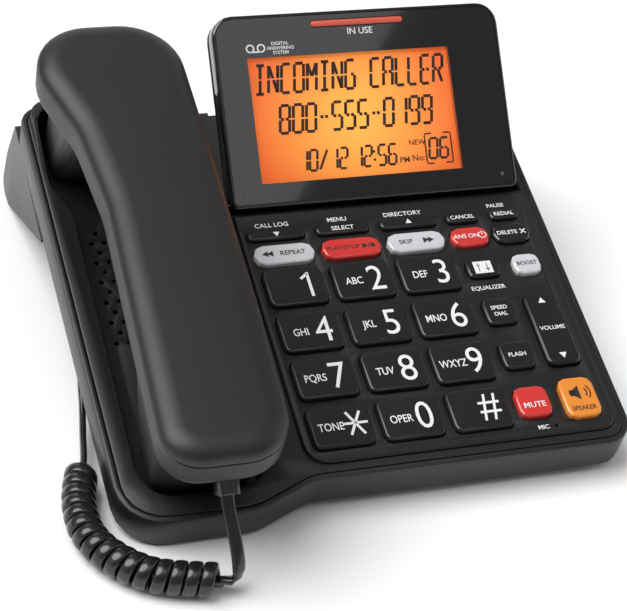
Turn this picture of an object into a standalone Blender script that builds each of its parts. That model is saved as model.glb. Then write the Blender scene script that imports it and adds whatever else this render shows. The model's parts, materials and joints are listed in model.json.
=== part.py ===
"""Corded desk telephone with an answering system and a tilting display, built in metres with +Z up.

Most of the telephone is laid out on its sloping deck: u runs to the right along the key rows, v runs up
the deck towards the display, and w points out of the deck, whose surface is w = 0.
"""

import math

import bmesh
import bpy
from mathutils import Vector

# The deck: its slope, and where its zero point stands so that the telephone's box is centred on the origin.
DECK_SLOPE = math.radians(14)
DECK_ORIGIN = (0.01643, -0.01252, 0.0384)
GAP = 0.0003
FIT = 0.0004

# The two halves of the base casing.
LEFT, RIGHT, REAR = -0.1150, 0.0820, 0.1020
FRONT, LOBE_FRONT = -0.0855, -0.0948
CASING_LOW, RIM_TOP, CASING_FLOOR = -0.0150, -0.0004, -0.0132
WALL = 0.0021
BELLY_LEFT, BELLY_RIGHT, BELLY_FRONT, BELLY_REAR = -0.1000, 0.0680, -0.0150, 0.0900
BELLY_LOW, BELLY_FLOOR, BELLY_CORNER = -0.0270, -0.0252, 0.0030
SKIRT_LOW = -0.0095
PANEL = 0.0022
POSTS = ((-0.0360, -0.0700), (0.0700, -0.0700), (-0.0360, 0.0280), (0.0620, 0.0280))
POST_RADIUS = 0.0025

# The handset cradle, pressed into the left of the top casing.
TROUGH_FLOOR = -0.0090
TROUGH_WALL = 0.0018
TROUGH_TAPER = 0.0024
HOOD_TOP = 0.0062
GRILLE_CENTRE = (-0.0815, 0.0150)
GRILLE_PITCH, GRILLE_RADIUS = 0.0048, 0.0011
GRILLE_ROWS, GRILLE_COLUMNS = 12, 7
SPEAKER_CENTRE = (-0.0800, 0.0200)
HOOK_PLACE = (-0.0843, 0.0760)
HOOK_RADIUS, HOOK_RISE = 0.0036, 0.0030

# The open recess behind the keys, which the display folds into.
RECESS_LEFT, RECESS_RIGHT, RECESS_FRONT, RECESS_FLOOR = -0.0456, 0.0774, 0.0373, -0.0110

# The key plate and its keys.
PLATE_LEFT, PLATE_RIGHT, PLATE_FRONT, PLATE_REAR = -0.0430, 0.0765, -0.0798, 0.0356
PLATE_TOP, PLATE_UNDER, PLATE_LOW = 0.0010, -0.0012, -0.0037
PLATE_WALL = 0.0012
KEY_CLEARANCE = 0.00035
FLANGE = 0.0008
FLANGE_TOP, FLANGE_LOW = PLATE_UNDER - GAP, -0.0025
DIGIT_COLUMNS = (-0.0280, -0.0014, 0.0252)
DIGIT_ROWS = (-0.0018, -0.0232, -0.0446, -0.0660)
DIGIT_SIZE = (0.0232, 0.0178)
SOFT_ROW, PILL_ROW = 0.0242, 0.0141
ROCKER_PLACE, ROCKER_SIZE = (0.0652, -0.0337), (0.0134, 0.0336)
MAT_TOP, MAT_LOW = -0.0041, -0.0052
BOARD_TOP, BOARD_LOW = -0.0055, -0.0071
MICROPHONE_HOLE = (0.0525, -0.0762)

# The display, in the frame of its hinge: x to the right, y up its face and z out of the face.
HINGE = (0.0156, 0.0435, -0.0035)
DISPLAY_TILT = math.radians(32.9)
FACE_WIDTH, FACE_BOTTOM, FACE_TOP, FACE_FRONT = 0.1185, -0.0019, 0.0734, 0.01015
DISPLAY_SPLIT, DISPLAY_BACK = 0.0036, 0.0004
DISPLAY_WALL = 0.0018
LCD_SIZE, LCD_CENTRE = (0.0828, 0.0492), (-0.0049, 0.0317)
LIGHT_SIZE, LIGHT_CENTRE = (0.0380, 0.0025), (0.0, 0.0684)
WINDOW_MARGIN, WINDOW_THICK = 0.0012, 0.0011
ROD_RADIUS, BARREL_RADIUS = 0.0014, 0.0031

# The handset, lying in the cradle.
HANDSET_SPLIT = 0.0400
CUP_LOW, CUP_TOP = TROUGH_FLOOR + GAP, 0.0310
MOUTH_LOW = -0.0060
EAR_CENTRE, MOUTH_CENTRE = (-0.0845, 0.0797), (-0.0808, -0.0690)
SHELL = 0.0019

# The stand under the rear of the base, and the four feet.
STAND_LEFT, STAND_RIGHT = -0.1145, 0.0815
STAND_WALL = 0.0024
FOOT_RADIUS, REAR_FOOT_HEIGHT = 0.0055, 0.0017
FOOT_PLACES = {
    "foot_front_left": (-0.0950, -0.0770),
    "foot_front_right": (0.0660, -0.0700),
    "foot_rear_left": (-0.1040, 0.1148),
    "foot_rear_right": (0.0710, 0.1148),
}

# The handset cord and its two plugs.
LEAD_RADIUS = 0.0022
COIL_RADIUS = 0.0062
PLUG_SIZE = (0.00765, 0.0062, 0.0123)
PLUG_PLACE, PLUG_TURN = (-0.0790, -0.0874, 0.0241), math.radians(130)
BASE_PLUG_PLACE = (-0.0893, -0.0050, -0.0205)
JACK_FACE = BELLY_LEFT + WALL + GAP


def clear_scene():
    for obj in list(bpy.data.objects):
        bpy.data.objects.remove(obj, do_unlink=True)


def make_collection(name):
    collection = bpy.data.collections.new(name)
    bpy.context.scene.collection.children.link(collection)
    return collection


def make_material(name, colour, roughness, metallic=0.0):
    material = bpy.data.materials.new(name)
    material.use_nodes = True
    shader = material.node_tree.nodes["Principled BSDF"]
    shader.inputs["Base Color"].default_value = (*colour, 1.0)
    shader.inputs["Roughness"].default_value = roughness
    shader.inputs["Metallic"].default_value = metallic
    return material


clear_scene()
PARTS = make_collection("corded_telephone")
CUTTERS = make_collection("cutters")
MATERIALS = {
    "black_plastic": make_material("black_plastic", (0.020, 0.020, 0.021), 0.42),
    "gloss_black": make_material("gloss_black", (0.010, 0.010, 0.011), 0.08),
    "key_black": make_material("key_black", (0.024, 0.024, 0.026), 0.34),
    "silver_key": make_material("silver_key", (0.62, 0.63, 0.65), 0.22),
    "red_key": make_material("red_key", (0.62, 0.06, 0.05), 0.20),
    "orange_key": make_material("orange_key", (0.85, 0.33, 0.06), 0.24),
    "amber_screen": make_material("amber_screen", (1.0, 0.42, 0.14), 0.35),
    "red_lens": make_material("red_lens", (0.70, 0.13, 0.09), 0.25),
    "clear_window": make_material("clear_window", (0.012, 0.012, 0.013), 0.05),
    "rubber": make_material("rubber", (0.016, 0.016, 0.016), 0.75),
    "silicone": make_material("silicone", (0.30, 0.31, 0.32), 0.65),
    "circuit_board": make_material("circuit_board", (0.03, 0.16, 0.07), 0.45),
    "steel": make_material("steel", (0.55, 0.56, 0.58), 0.30, 1.0),
    "cord_black": make_material("cord_black", (0.014, 0.014, 0.015), 0.28),
    "plug_clear": make_material("plug_clear", (0.10, 0.10, 0.11), 0.15),
}


def make_frame(name, parent, location, tilt=0.0):
    frame = bpy.data.objects.new(name, None)
    frame.empty_display_size = 0.02
    frame.parent = parent
    frame.location = location
    frame.rotation_euler = (tilt, 0.0, 0.0)
    PARTS.objects.link(frame)
    return frame


DECK = make_frame("deck_frame", None, DECK_ORIGIN, DECK_SLOPE)
DISPLAY = make_frame("display_hinge", DECK, HINGE, DISPLAY_TILT)


def part(obj, material, parent=None):
    """Moves an object into the part's collection with its material, under its frame."""
    for collection in list(obj.users_collection):
        collection.objects.unlink(obj)
    PARTS.objects.link(obj)
    obj.parent = parent
    obj.data.materials.clear()
    obj.data.materials.append(MATERIALS[material])
    obj.data.shade_smooth()
    obj.data.set_sharp_from_angle(angle=math.radians(32))
    return obj


def cutter(obj, parent=None):
    obj.parent = parent
    obj.hide_render = True
    obj.display_type = "WIRE"
    return obj


def mesh_object(name, mesh):
    obj = bpy.data.objects.new(name, mesh)
    CUTTERS.objects.link(obj)
    return obj


def baked(obj, name):
    """The object's evaluated shape as a plain mesh object, with loose caps welded."""
    bpy.context.view_layer.update()
    graph = bpy.context.evaluated_depsgraph_get()
    mesh = bpy.data.meshes.new_from_object(obj.evaluated_get(graph))
    shape = bmesh.new()
    shape.from_mesh(mesh)
    bmesh.ops.remove_doubles(shape, verts=shape.verts, dist=1e-6)
    bmesh.ops.transform(shape, matrix=obj.matrix_world, verts=shape.verts)
    bmesh.ops.recalc_face_normals(shape, faces=shape.faces)
    shape.to_mesh(mesh)
    shape.free()
    bpy.data.objects.remove(obj, do_unlink=True)
    return mesh_object(name, mesh)


def boolean(target, other, operation="DIFFERENCE"):
    modifier = target.modifiers.new(operation.lower(), "BOOLEAN")
    modifier.operation = operation
    modifier.object = other
    modifier.solver = "EXACT"
    return target


def cut(target, *others):
    for other in others:
        boolean(target, other)
    return target


def join(target, *others):
    for other in others:
        boolean(target, other, "UNION")
    return target


def rounded_outline(corners, inset=0.0, steps=5):
    """A closed outline through corners (x, y, radius), anticlockwise, moved inwards by an inset."""
    count = len(corners)
    edges = []
    for i in range(count):
        start = Vector(corners[i][:2])
        along = (Vector(corners[(i + 1) % count][:2]) - start).normalized()
        edges.append((start + Vector((-along.y, along.x)) * inset, along))
    points = []
    for i in range(count):
        (before, into), (after, out) = edges[i - 1], edges[i]
        turn = into.x * out.y - into.y * out.x
        if abs(turn) < 1e-6:
            points.append(tuple(after))
            continue
        offset = after - before
        reach = (offset.x * out.y - offset.y * out.x) / turn
        corner = before + into * reach
        radius = corners[i][2]
        radius = max(radius - inset, 0.0004) if turn > 0 else radius + inset
        angle = math.acos(max(-1.0, min(1.0, into.dot(out))))
        back = radius * math.tan(angle / 2)
        first = corner - into * back
        side = 1.0 if turn > 0 else -1.0
        centre = first + Vector((-into.y, into.x)) * radius * side
        start_angle = math.atan2(first.y - centre.y, first.x - centre.x)
        for step in range(steps + 1):
            a = start_angle + side * angle * step / steps
            points.append((centre.x + radius * math.cos(a), centre.y + radius * math.sin(a)))
    return points


def rectangle(centre, size, radius, steps=3, inset=0.0):
    x, y = size[0] / 2, size[1] / 2
    signs = ((-1, -1), (1, -1), (1, 1), (-1, 1))
    corners = [(centre[0] + sx * x, centre[1] + sy * y, radius) for sx, sy in signs]
    return rounded_outline(corners, inset, steps)


def slab(name, outline, low, high, edge=0.0, edge_steps=1):
    """A flat outline extruded from low to high, with its edges rounded inwards."""
    curve = bpy.data.curves.new(name, "CURVE")
    curve.dimensions = "2D"
    curve.fill_mode = "BOTH"
    spline = curve.splines.new("POLY")
    spline.points.add(len(outline) - 1)
    for point, (x, y) in zip(spline.points, outline):
        point.co = (x, y, 0.0, 1.0)
    spline.use_cyclic_u = True
    curve.extrude = (high - low) / 2 - edge
    curve.bevel_depth = edge
    curve.bevel_resolution = edge_steps - 1
    curve.offset = -edge
    obj = bpy.data.objects.new(name, curve)
    obj.location.z = (high + low) / 2
    CUTTERS.objects.link(obj)
    return baked(obj, name)


def block(name, low, high):
    shape = bmesh.new()
    bmesh.ops.create_cube(shape, size=1.0)
    size = [b - a for a, b in zip(low, high)]
    centre = [(a + b) / 2 for a, b in zip(low, high)]
    bmesh.ops.scale(shape, vec=size, verts=shape.verts)
    bmesh.ops.translate(shape, vec=centre, verts=shape.verts)
    mesh = bpy.data.meshes.new(name)
    shape.to_mesh(mesh)
    shape.free()
    return mesh_object(name, mesh)


def cylinder(name, radius, low, high, place=(0.0, 0.0), sides=20):
    shape = bmesh.new()
    height = high - low
    bmesh.ops.create_cone(shape, cap_ends=True, segments=sides, radius1=radius, radius2=radius, depth=height)
    bmesh.ops.translate(shape, vec=(place[0], place[1], (low + high) / 2), verts=shape.verts)
    mesh = bpy.data.meshes.new(name)
    shape.to_mesh(mesh)
    shape.free()
    return mesh_object(name, mesh)


def turned(name, profile, steps=20):
    """A solid of revolution about z. The profile of (radius, height) runs from the top down to the bottom."""
    mesh = bpy.data.meshes.new(name)
    points = [(radius, 0.0, height) for radius, height in profile]
    mesh.from_pydata(points, [(i, i + 1) for i in range(len(points) - 1)], [])
    obj = mesh_object(name, mesh)
    screw = obj.modifiers.new("turn", "SCREW")
    screw.steps = steps
    screw.render_steps = steps
    screw.use_merge_vertices = True
    screw.merge_threshold = 1e-6
    return obj


def loft(name, rings):
    """A closed solid through rings of equal count, capped flat at both ends."""
    shape = bmesh.new()
    rows = [[shape.verts.new(point) for point in ring] for ring in rings]
    count = len(rings[0])
    for lower, upper in zip(rows, rows[1:]):
        for i in range(count):
            j = (i + 1) % count
            shape.faces.new((lower[i], lower[j], upper[j], upper[i]))
    shape.faces.new(rows[0])
    shape.faces.new(rows[-1])
    bmesh.ops.recalc_face_normals(shape, faces=shape.faces)
    mesh = bpy.data.meshes.new(name)
    shape.to_mesh(mesh)
    shape.free()
    return mesh_object(name, mesh)


def tapered(name, *levels):
    """A solid through outlines at heights, given as (height, outline)."""
    return loft(name, [[(x, y, height) for x, y in outline] for height, outline in levels])


def prisms(name, outlines, low, high):
    """Separate straight prisms in one mesh, to cut many holes at once."""
    shape = bmesh.new()
    for outline in outlines:
        rows = [[shape.verts.new((x, y, height)) for x, y in outline] for height in (low, high)]
        for i in range(len(outline)):
            j = (i + 1) % len(outline)
            shape.faces.new((rows[0][i], rows[0][j], rows[1][j], rows[1][i]))
        shape.faces.new(rows[0][::-1])
        shape.faces.new(rows[1])
    bmesh.ops.recalc_face_normals(shape, faces=shape.faces)
    mesh = bpy.data.meshes.new(name)
    shape.to_mesh(mesh)
    shape.free()
    return mesh_object(name, mesh)


def circle(centre, radius, sides=8):
    turn = 2 * math.pi / sides
    u, v = centre
    return [(u + radius * math.cos(i * turn), v + radius * math.sin(i * turn)) for i in range(sides)]


def along_u(obj, place):
    """Turns an object built about z so that its axis runs along u through a place."""
    obj.rotation_euler = (0.0, math.pi / 2, 0.0)
    obj.location = place
    return obj


# The base casing: a tray below, and a panel above that is pressed into a cradle, a recess and a key opening.

BASE_CORNERS = [
    (LEFT + 0.0030, LOBE_FRONT, 0.0170),
    (-0.0640, LOBE_FRONT, 0.0250),
    (-0.0420, FRONT, 0.0200),
    (RIGHT, FRONT, 0.0110),
    (RIGHT, REAR, 0.0060),
    (LEFT, REAR, 0.0090),
]
TROUGH_CORNERS = [
    (-0.1038, -0.0850, 0.0130),
    (-0.0565, -0.0850, 0.0130),
    (-0.0565, 0.0962, 0.0100),
    (-0.1096, 0.0962, 0.0100),
    (-0.1096, 0.0600, 0.0120),
    (-0.1038, 0.0440, 0.0120),
]
PLATE_CORNERS = [
    (PLATE_LEFT, PLATE_FRONT, 0.0085),
    (PLATE_RIGHT, PLATE_FRONT, 0.0065),
    (PLATE_RIGHT, PLATE_REAR, 0.0008),
    (PLATE_LEFT, PLATE_REAR, 0.0008),
]
LIP_CORNERS = [
    (PLATE_LEFT - 0.0016, PLATE_FRONT - 0.0006, 0.0090),
    (PLATE_RIGHT + 0.0006, PLATE_FRONT - 0.0006, 0.0070),
    (PLATE_RIGHT + 0.0006, PLATE_REAR - 0.0006, 0.0008),
    (PLATE_LEFT - 0.0016, PLATE_REAR - 0.0006, 0.0008),
]


def build_bottom_casing():
    casing = slab("bottom_casing", rounded_outline(BASE_CORNERS), CASING_LOW, RIM_TOP, 0.0008, 2)
    belly_size = (BELLY_RIGHT - BELLY_LEFT, BELLY_REAR - BELLY_FRONT)
    belly_centre = ((BELLY_RIGHT + BELLY_LEFT) / 2, (BELLY_REAR + BELLY_FRONT) / 2)
    belly_outline = rectangle(belly_centre, belly_size, BELLY_CORNER)
    belly = slab("belly", belly_outline, BELLY_LOW, CASING_LOW + 0.0010, 0.0004)
    hollow = slab("casing_hollow", rounded_outline(BASE_CORNERS, WALL), CASING_FLOOR, 0.0050)
    belly_inside = rectangle(belly_centre, belly_size, BELLY_CORNER, inset=WALL)
    belly_hollow = slab("belly_hollow", belly_inside, BELLY_FLOOR, CASING_LOW + 0.0050)
    gate = block("rear_gate", (RECESS_LEFT, 0.0950, RECESS_FLOOR - 0.0020), (RECESS_RIGHT, 0.1100, 0.0100))
    left, rear, reach = BELLY_LEFT, BELLY_REAR, 0.0040
    side_port = block("side_port", (left - reach, -0.0100, -0.0249), (left + reach, 0.0000, -0.0161))
    line_port = block("line_port", (-0.0196, rear - reach, -0.0246), (-0.0074, rear + reach, -0.0160))
    power_port = block("power_port", (0.0057, rear - reach, -0.0243), (0.0137, rear + reach, -0.0163))
    post_top = BOARD_LOW - GAP
    short, tall = ([circle(place, POST_RADIUS, 10) for place in places] for places in (POSTS[:2], POSTS[2:]))
    posts = prisms("board_posts", short, -0.0140, post_top)
    tall_posts = prisms("tall_posts", tall, -0.0260, post_top)
    for obj in (belly, hollow, belly_hollow, gate, side_port, line_port, power_port, posts, tall_posts):
        cutter(obj, DECK)
    join(casing, belly)
    cut(casing, hollow, belly_hollow, gate, side_port, line_port, power_port)
    join(casing, posts, tall_posts)
    return part(casing, "black_plastic", DECK)


def grille_holes():
    """The round holes of the speaker grille, in staggered rows."""
    holes = []
    for row in range(GRILLE_ROWS):
        stagger = 0.25 if row % 2 else -0.25
        for column in range(GRILLE_COLUMNS):
            u = GRILLE_CENTRE[0] + (column - (GRILLE_COLUMNS - 1) / 2 + stagger) * GRILLE_PITCH
            v = GRILLE_CENTRE[1] + (row - (GRILLE_ROWS - 1) / 2) * GRILLE_PITCH
            holes.append(circle((u, v), GRILLE_RADIUS, 6))
    return prisms("grille_holes", holes, -0.0150, -0.0050)


def build_top_casing():
    casing = slab("top_casing", rounded_outline(BASE_CORNERS, WALL + GAP), SKIRT_LOW, 0.0, 0.0006, 2)
    inside = slab("panel_hollow", rounded_outline(BASE_CORNERS, 2 * WALL + GAP), -0.0200, -PANEL)
    dish = tapered(
        "trough_dish",
        (TROUGH_FLOOR - TROUGH_WALL, rounded_outline(TROUGH_CORNERS, TROUGH_TAPER - TROUGH_WALL)),
        (-0.0004, rounded_outline(TROUGH_CORNERS, -TROUGH_WALL)),
    )
    hood_left, hood_right, hood_rear = LEFT + 0.0034, -0.0530, 0.0992
    hood_low = [(hood_left, 0.0640), (hood_right, 0.0640), (hood_right, hood_rear), (hood_left, hood_rear)]
    hood_high = [(hood_left, 0.0890), (hood_right, 0.0890), (hood_right, hood_rear), (hood_left, hood_rear)]
    radii = (0.0005, 0.0005, 0.0030, 0.0070)
    hood = tapered(
        "hood",
        (-0.0012, rounded_outline([(*at, radius) for at, radius in zip(hood_low, radii)])),
        (HOOD_TOP - 0.0008, rounded_outline([(*at, radius) for at, radius in zip(hood_high, radii)])),
        (HOOD_TOP, rounded_outline([(*at, radius) for at, radius in zip(hood_high, radii)], 0.0008)),
    )
    trough = tapered(
        "trough",
        (TROUGH_FLOOR, rounded_outline(TROUGH_CORNERS, TROUGH_TAPER)),
        (0.0, rounded_outline(TROUGH_CORNERS)),
        (0.0200, rounded_outline(TROUGH_CORNERS, -0.0015)),
    )
    tray_low = (RECESS_LEFT - 0.0020, RECESS_FRONT - 0.0012, RECESS_FLOOR - 0.0016)
    tray = block("recess_tray", tray_low, (RECESS_RIGHT + 0.0006, REAR - WALL - 0.0009, -0.0005))
    recess = block("recess", (RECESS_LEFT, RECESS_FRONT, RECESS_FLOOR), (RECESS_RIGHT, 0.1200, 0.0200))
    window = slab("plate_window", rounded_outline(PLATE_CORNERS, -FIT), -0.0060, 0.0050)
    plunger_hole = cylinder("plunger_hole", HOOK_RADIUS + FIT, -0.0150, 0.0000, HOOK_PLACE)
    hole_radius = ROD_RADIUS + GAP
    left_hole = cylinder("rod_hole_left", hole_radius, -0.0040, 0.0040, sides=12)
    right_hole = cylinder("rod_hole_right", hole_radius, -0.0040, 0.0012, sides=12)
    along_u(left_hole, (RECESS_LEFT, *HINGE[1:]))
    along_u(right_hole, (RECESS_RIGHT, *HINGE[1:]))
    holes = grille_holes()
    openings = (trough, recess, window, plunger_hole, left_hole, right_hole, holes)
    for obj in (inside, dish, hood, tray, *openings):
        cutter(obj, DECK)
    cut(casing, inside)
    join(casing, dish, tray, hood)
    cut(casing, *openings)
    return part(casing, "black_plastic", DECK)


# The keys, each named with its place, size, corner radius, height and material.

def key_table():
    keys = {}
    names = ("1", "2", "3", "4", "5", "6", "7", "8", "9", "star", "0", "pound")
    for i, name in enumerate(names):
        place = (DIGIT_COLUMNS[i % 3], DIGIT_ROWS[i // 3])
        keys["key_" + name] = (place, DIGIT_SIZE, 0.0026, 0.0030, "key_black")
    soft = (
        ("call_log_key", -0.0290, 0.0232),
        ("menu_key", -0.0024, 0.0217),
        ("directory_key", 0.0246, 0.0235),
        ("cancel_key", 0.0471, 0.0134),
        ("redial_key", 0.0647, 0.0119),
    )
    for name, u, width in soft:
        keys[name] = ((u, SOFT_ROW), (width, 0.0050), 0.0022, 0.0026, "key_black")
    pills = (
        ("repeat_key", -0.0283, 0.0239, "silver_key"),
        ("play_key", -0.0015, 0.0238, "red_key"),
        ("skip_key", 0.0249, 0.0235, "silver_key"),
        ("answer_key", 0.0472, 0.0158, "red_key"),
        ("delete_key", 0.0645, 0.0152, "gloss_black"),
    )
    for name, u, width, material in pills:
        keys[name] = ((u, PILL_ROW), (width, 0.0094), 0.0040, 0.0030, material)
    keys["equalizer_key"] = ((0.0474, -0.0018), (0.0128, 0.0086), 0.0022, 0.0028, "key_black")
    keys["boost_key"] = ((0.0657, -0.0018), (0.0112, 0.0096), 0.0030, 0.0030, "silver_key")
    keys["speed_dial_key"] = ((0.0474, -0.0231), (0.0122, 0.0124), 0.0024, 0.0028, "key_black")
    keys["flash_key"] = ((0.0474, -0.0440), (0.0126, 0.0124), 0.0024, 0.0028, "key_black")
    keys["mute_key"] = ((0.0465, -0.0655), (0.0130, 0.0132), 0.0030, 0.0030, "red_key")
    keys["speaker_key"] = ((0.0650, -0.0660), (0.0138, 0.0176), 0.0034, 0.0030, "orange_key")
    return keys


def build_key(name, place, size, radius, top, material):
    def ring(grow, height):
        return height, rectangle((0.0, 0.0), size, radius, 2, -grow)

    key = tapered(
        name,
        ring(FLANGE, FLANGE_LOW),
        ring(FLANGE, FLANGE_TOP),
        ring(0.0, FLANGE_TOP),
        ring(0.0, top - 0.0006),
        ring(-0.0007, top),
    )
    key.location = (*place, 0.0)
    return part(key, material, DECK)


def build_rocker():
    rocker = tapered(
        "volume_rocker",
        (FLANGE_LOW, rectangle((0.0, 0.0), ROCKER_SIZE, 0.0030, 3)),
        (0.0024, rectangle((0.0, 0.0), ROCKER_SIZE, 0.0030, 3)),
        (0.0030, rectangle((0.0, 0.0), ROCKER_SIZE, 0.0030, 3, 0.0007)),
    )
    ears = block("rocker_ears", (-0.0076, -0.0026, FLANGE_LOW + 0.0001), (0.0076, 0.0026, FLANGE_TOP))
    pivot_drop = -FLANGE_LOW - 0.0005
    for obj in (rocker, ears):
        for vertex in obj.data.vertices:
            vertex.co.z += pivot_drop
    place = (*ROCKER_PLACE, -pivot_drop)
    ears.location = place
    rocker.location = place
    cutter(ears, DECK)
    join(rocker, ears)
    return part(rocker, "key_black", DECK)


def build_key_plate():
    plate = slab("keypad_plate", rounded_outline(PLATE_CORNERS), PLATE_LOW, PLATE_TOP, 0.0005)
    lip = slab("plate_lip", rounded_outline(LIP_CORNERS), -0.0035, -0.0025)
    hollow = slab("plate_hollow", rounded_outline(PLATE_CORNERS, PLATE_WALL), -0.0080, PLATE_UNDER)
    keys = key_table().values()
    outlines = [rectangle(place, size, radius, 2, -KEY_CLEARANCE) for place, size, radius, *_ in keys]
    rocker_hole = (ROCKER_SIZE[0] + 2 * KEY_CLEARANCE, ROCKER_SIZE[1] + 4 * KEY_CLEARANCE)
    outlines.append(rectangle(ROCKER_PLACE, rocker_hole, 0.0033, 3))
    outlines.append(circle(MICROPHONE_HOLE, 0.0007))
    holes = prisms("key_holes", outlines, -0.0060, 0.0060)
    for obj in (lip, hollow, holes):
        cutter(obj, DECK)
    join(plate, lip)
    cut(plate, hollow, holes)
    part(plate, "black_plastic", DECK)
    part(slab("key_mat", rounded_outline(PLATE_CORNERS, 0.0024, 2), MAT_LOW, MAT_TOP), "silicone", DECK)


def build_electronics():
    board = slab("main_board", rounded_outline(PLATE_CORNERS, 0.0030, 2), BOARD_LOW, BOARD_TOP)
    root = BOARD_LOW + 0.0004
    chip = block("board_chip", (-0.0100, -0.0500, BOARD_LOW - 0.0020), (0.0100, -0.0300, root))
    memory = block("board_memory", (0.0220, -0.0480, BOARD_LOW - 0.0012), (0.0340, -0.0400, root))
    capacitor = cylinder("board_capacitor", 0.0040, BOARD_LOW - 0.0052, root, (0.0500, -0.0300), 12)
    for obj in (chip, memory, capacitor):
        cutter(obj, DECK)
    join(board, chip, memory, capacitor)
    part(board, "circuit_board", DECK)

    speaker_top = TROUGH_FLOOR - TROUGH_WALL - GAP
    profile = [(0.0100, 0.0), (0.0170, 0.0), (0.0170, -0.0012), (0.0140, -0.0040), (0.0090, -0.0062)]
    profile += [(0.0090, -0.0100), (0.0, -0.0100)]
    speaker = turned("base_speaker", [(0.0, -0.0030)] + profile, 24)
    speaker.location = (*SPEAKER_CENTRE, speaker_top)
    part(speaker, "steel", DECK)

    rest_top = TROUGH_FLOOR
    flange_top = TROUGH_FLOOR - TROUGH_WALL - HOOK_RISE - 2 * GAP
    profile = [(0.0, rest_top), (0.0030, rest_top), (HOOK_RADIUS, rest_top - 0.0006)]
    profile += [(HOOK_RADIUS, flange_top), (0.0052, flange_top)]
    profile += [(0.0052, flange_top - 0.0012), (0.0, flange_top - 0.0012)]
    plunger = turned("hook_plunger", profile, 16)
    plunger.location = (*HOOK_PLACE, 0.0)
    part(plunger, "key_black", DECK)
    switch_top = flange_top - 0.0012 - GAP
    u, v = HOOK_PLACE
    switch_low = (u - 0.0065, v - 0.0033, switch_top - 0.0060)
    switch = block("hook_switch", switch_low, (u + 0.0065, v + 0.0033, switch_top))
    part(switch, "key_black", DECK)


def build_jack(name, low, high, mouth_low, mouth_high, slot_low, slot_high):
    """A modular socket: a block with a mouth and the narrower slot that takes the plug's latch."""
    body = block(name, low, high)
    mouth = block(name + "_mouth", mouth_low, mouth_high)
    slot = block(name + "_slot", slot_low, slot_high)
    cut(body, cutter(mouth, DECK), cutter(slot, DECK))
    return part(body, "key_black", DECK)


def build_jacks():
    u, v, w = BASE_PLUG_PLACE
    width, height = PLUG_SIZE[0] / 2 + GAP, PLUG_SIZE[1] / 2 + GAP
    build_jack(
        "handset_jack",
        (JACK_FACE, v - 0.0062, -0.0249),
        (u + 0.0022, v + 0.0062, -0.0142),
        (JACK_FACE - 0.0050, v - width, w - height),
        (u + GAP, v + width, w + height),
        (JACK_FACE - 0.0050, v - 0.0020, w + height - 0.0010),
        (u - 0.0020, v + 0.0020, w + height + 0.0014),
    )
    face = BELLY_REAR - WALL - GAP
    centre = -0.0135
    build_jack(
        "line_jack",
        (centre - 0.0072, face - 0.0130, -0.0249),
        (centre + 0.0072, face, -0.0142),
        (centre - 0.0049, face - 0.0105, -0.0241),
        (centre + 0.0049, face + 0.0050, -0.0175),
        (centre - 0.0031, face - 0.0080, -0.0180),
        (centre + 0.0031, face + 0.0050, -0.0162),
    )
    centre, middle = 0.0097, -0.0203
    power_low = (centre - 0.0050, face - 0.0120, -0.0249)
    power = block("power_jack", power_low, (centre + 0.0050, face, -0.0142))
    hole = cylinder("power_hole", 0.0029, 0.0, 0.0150, sides=16)
    pin = cylinder("power_pin", 0.0010, -0.0020, 0.0085, sides=10)
    for obj in (hole, pin):
        obj.rotation_euler = (-math.pi / 2, 0.0, 0.0)
        obj.location = (centre, face - 0.0095, middle)
        cutter(obj, DECK)
    cut(power, hole)
    join(power, pin)
    part(power, "key_black", DECK)


# The display: a front and a back shell, with the screen, its window and the lamp lens between them.

def face_outline(inset=0.0, steps=5):
    x = FACE_WIDTH / 2
    corners = [
        (-x, FACE_BOTTOM, 0.0030),
        (x, FACE_BOTTOM, 0.0030),
        (x, FACE_TOP, 0.0085),
        (-x, FACE_TOP, 0.0085),
    ]
    return rounded_outline(corners, inset, steps)


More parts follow.
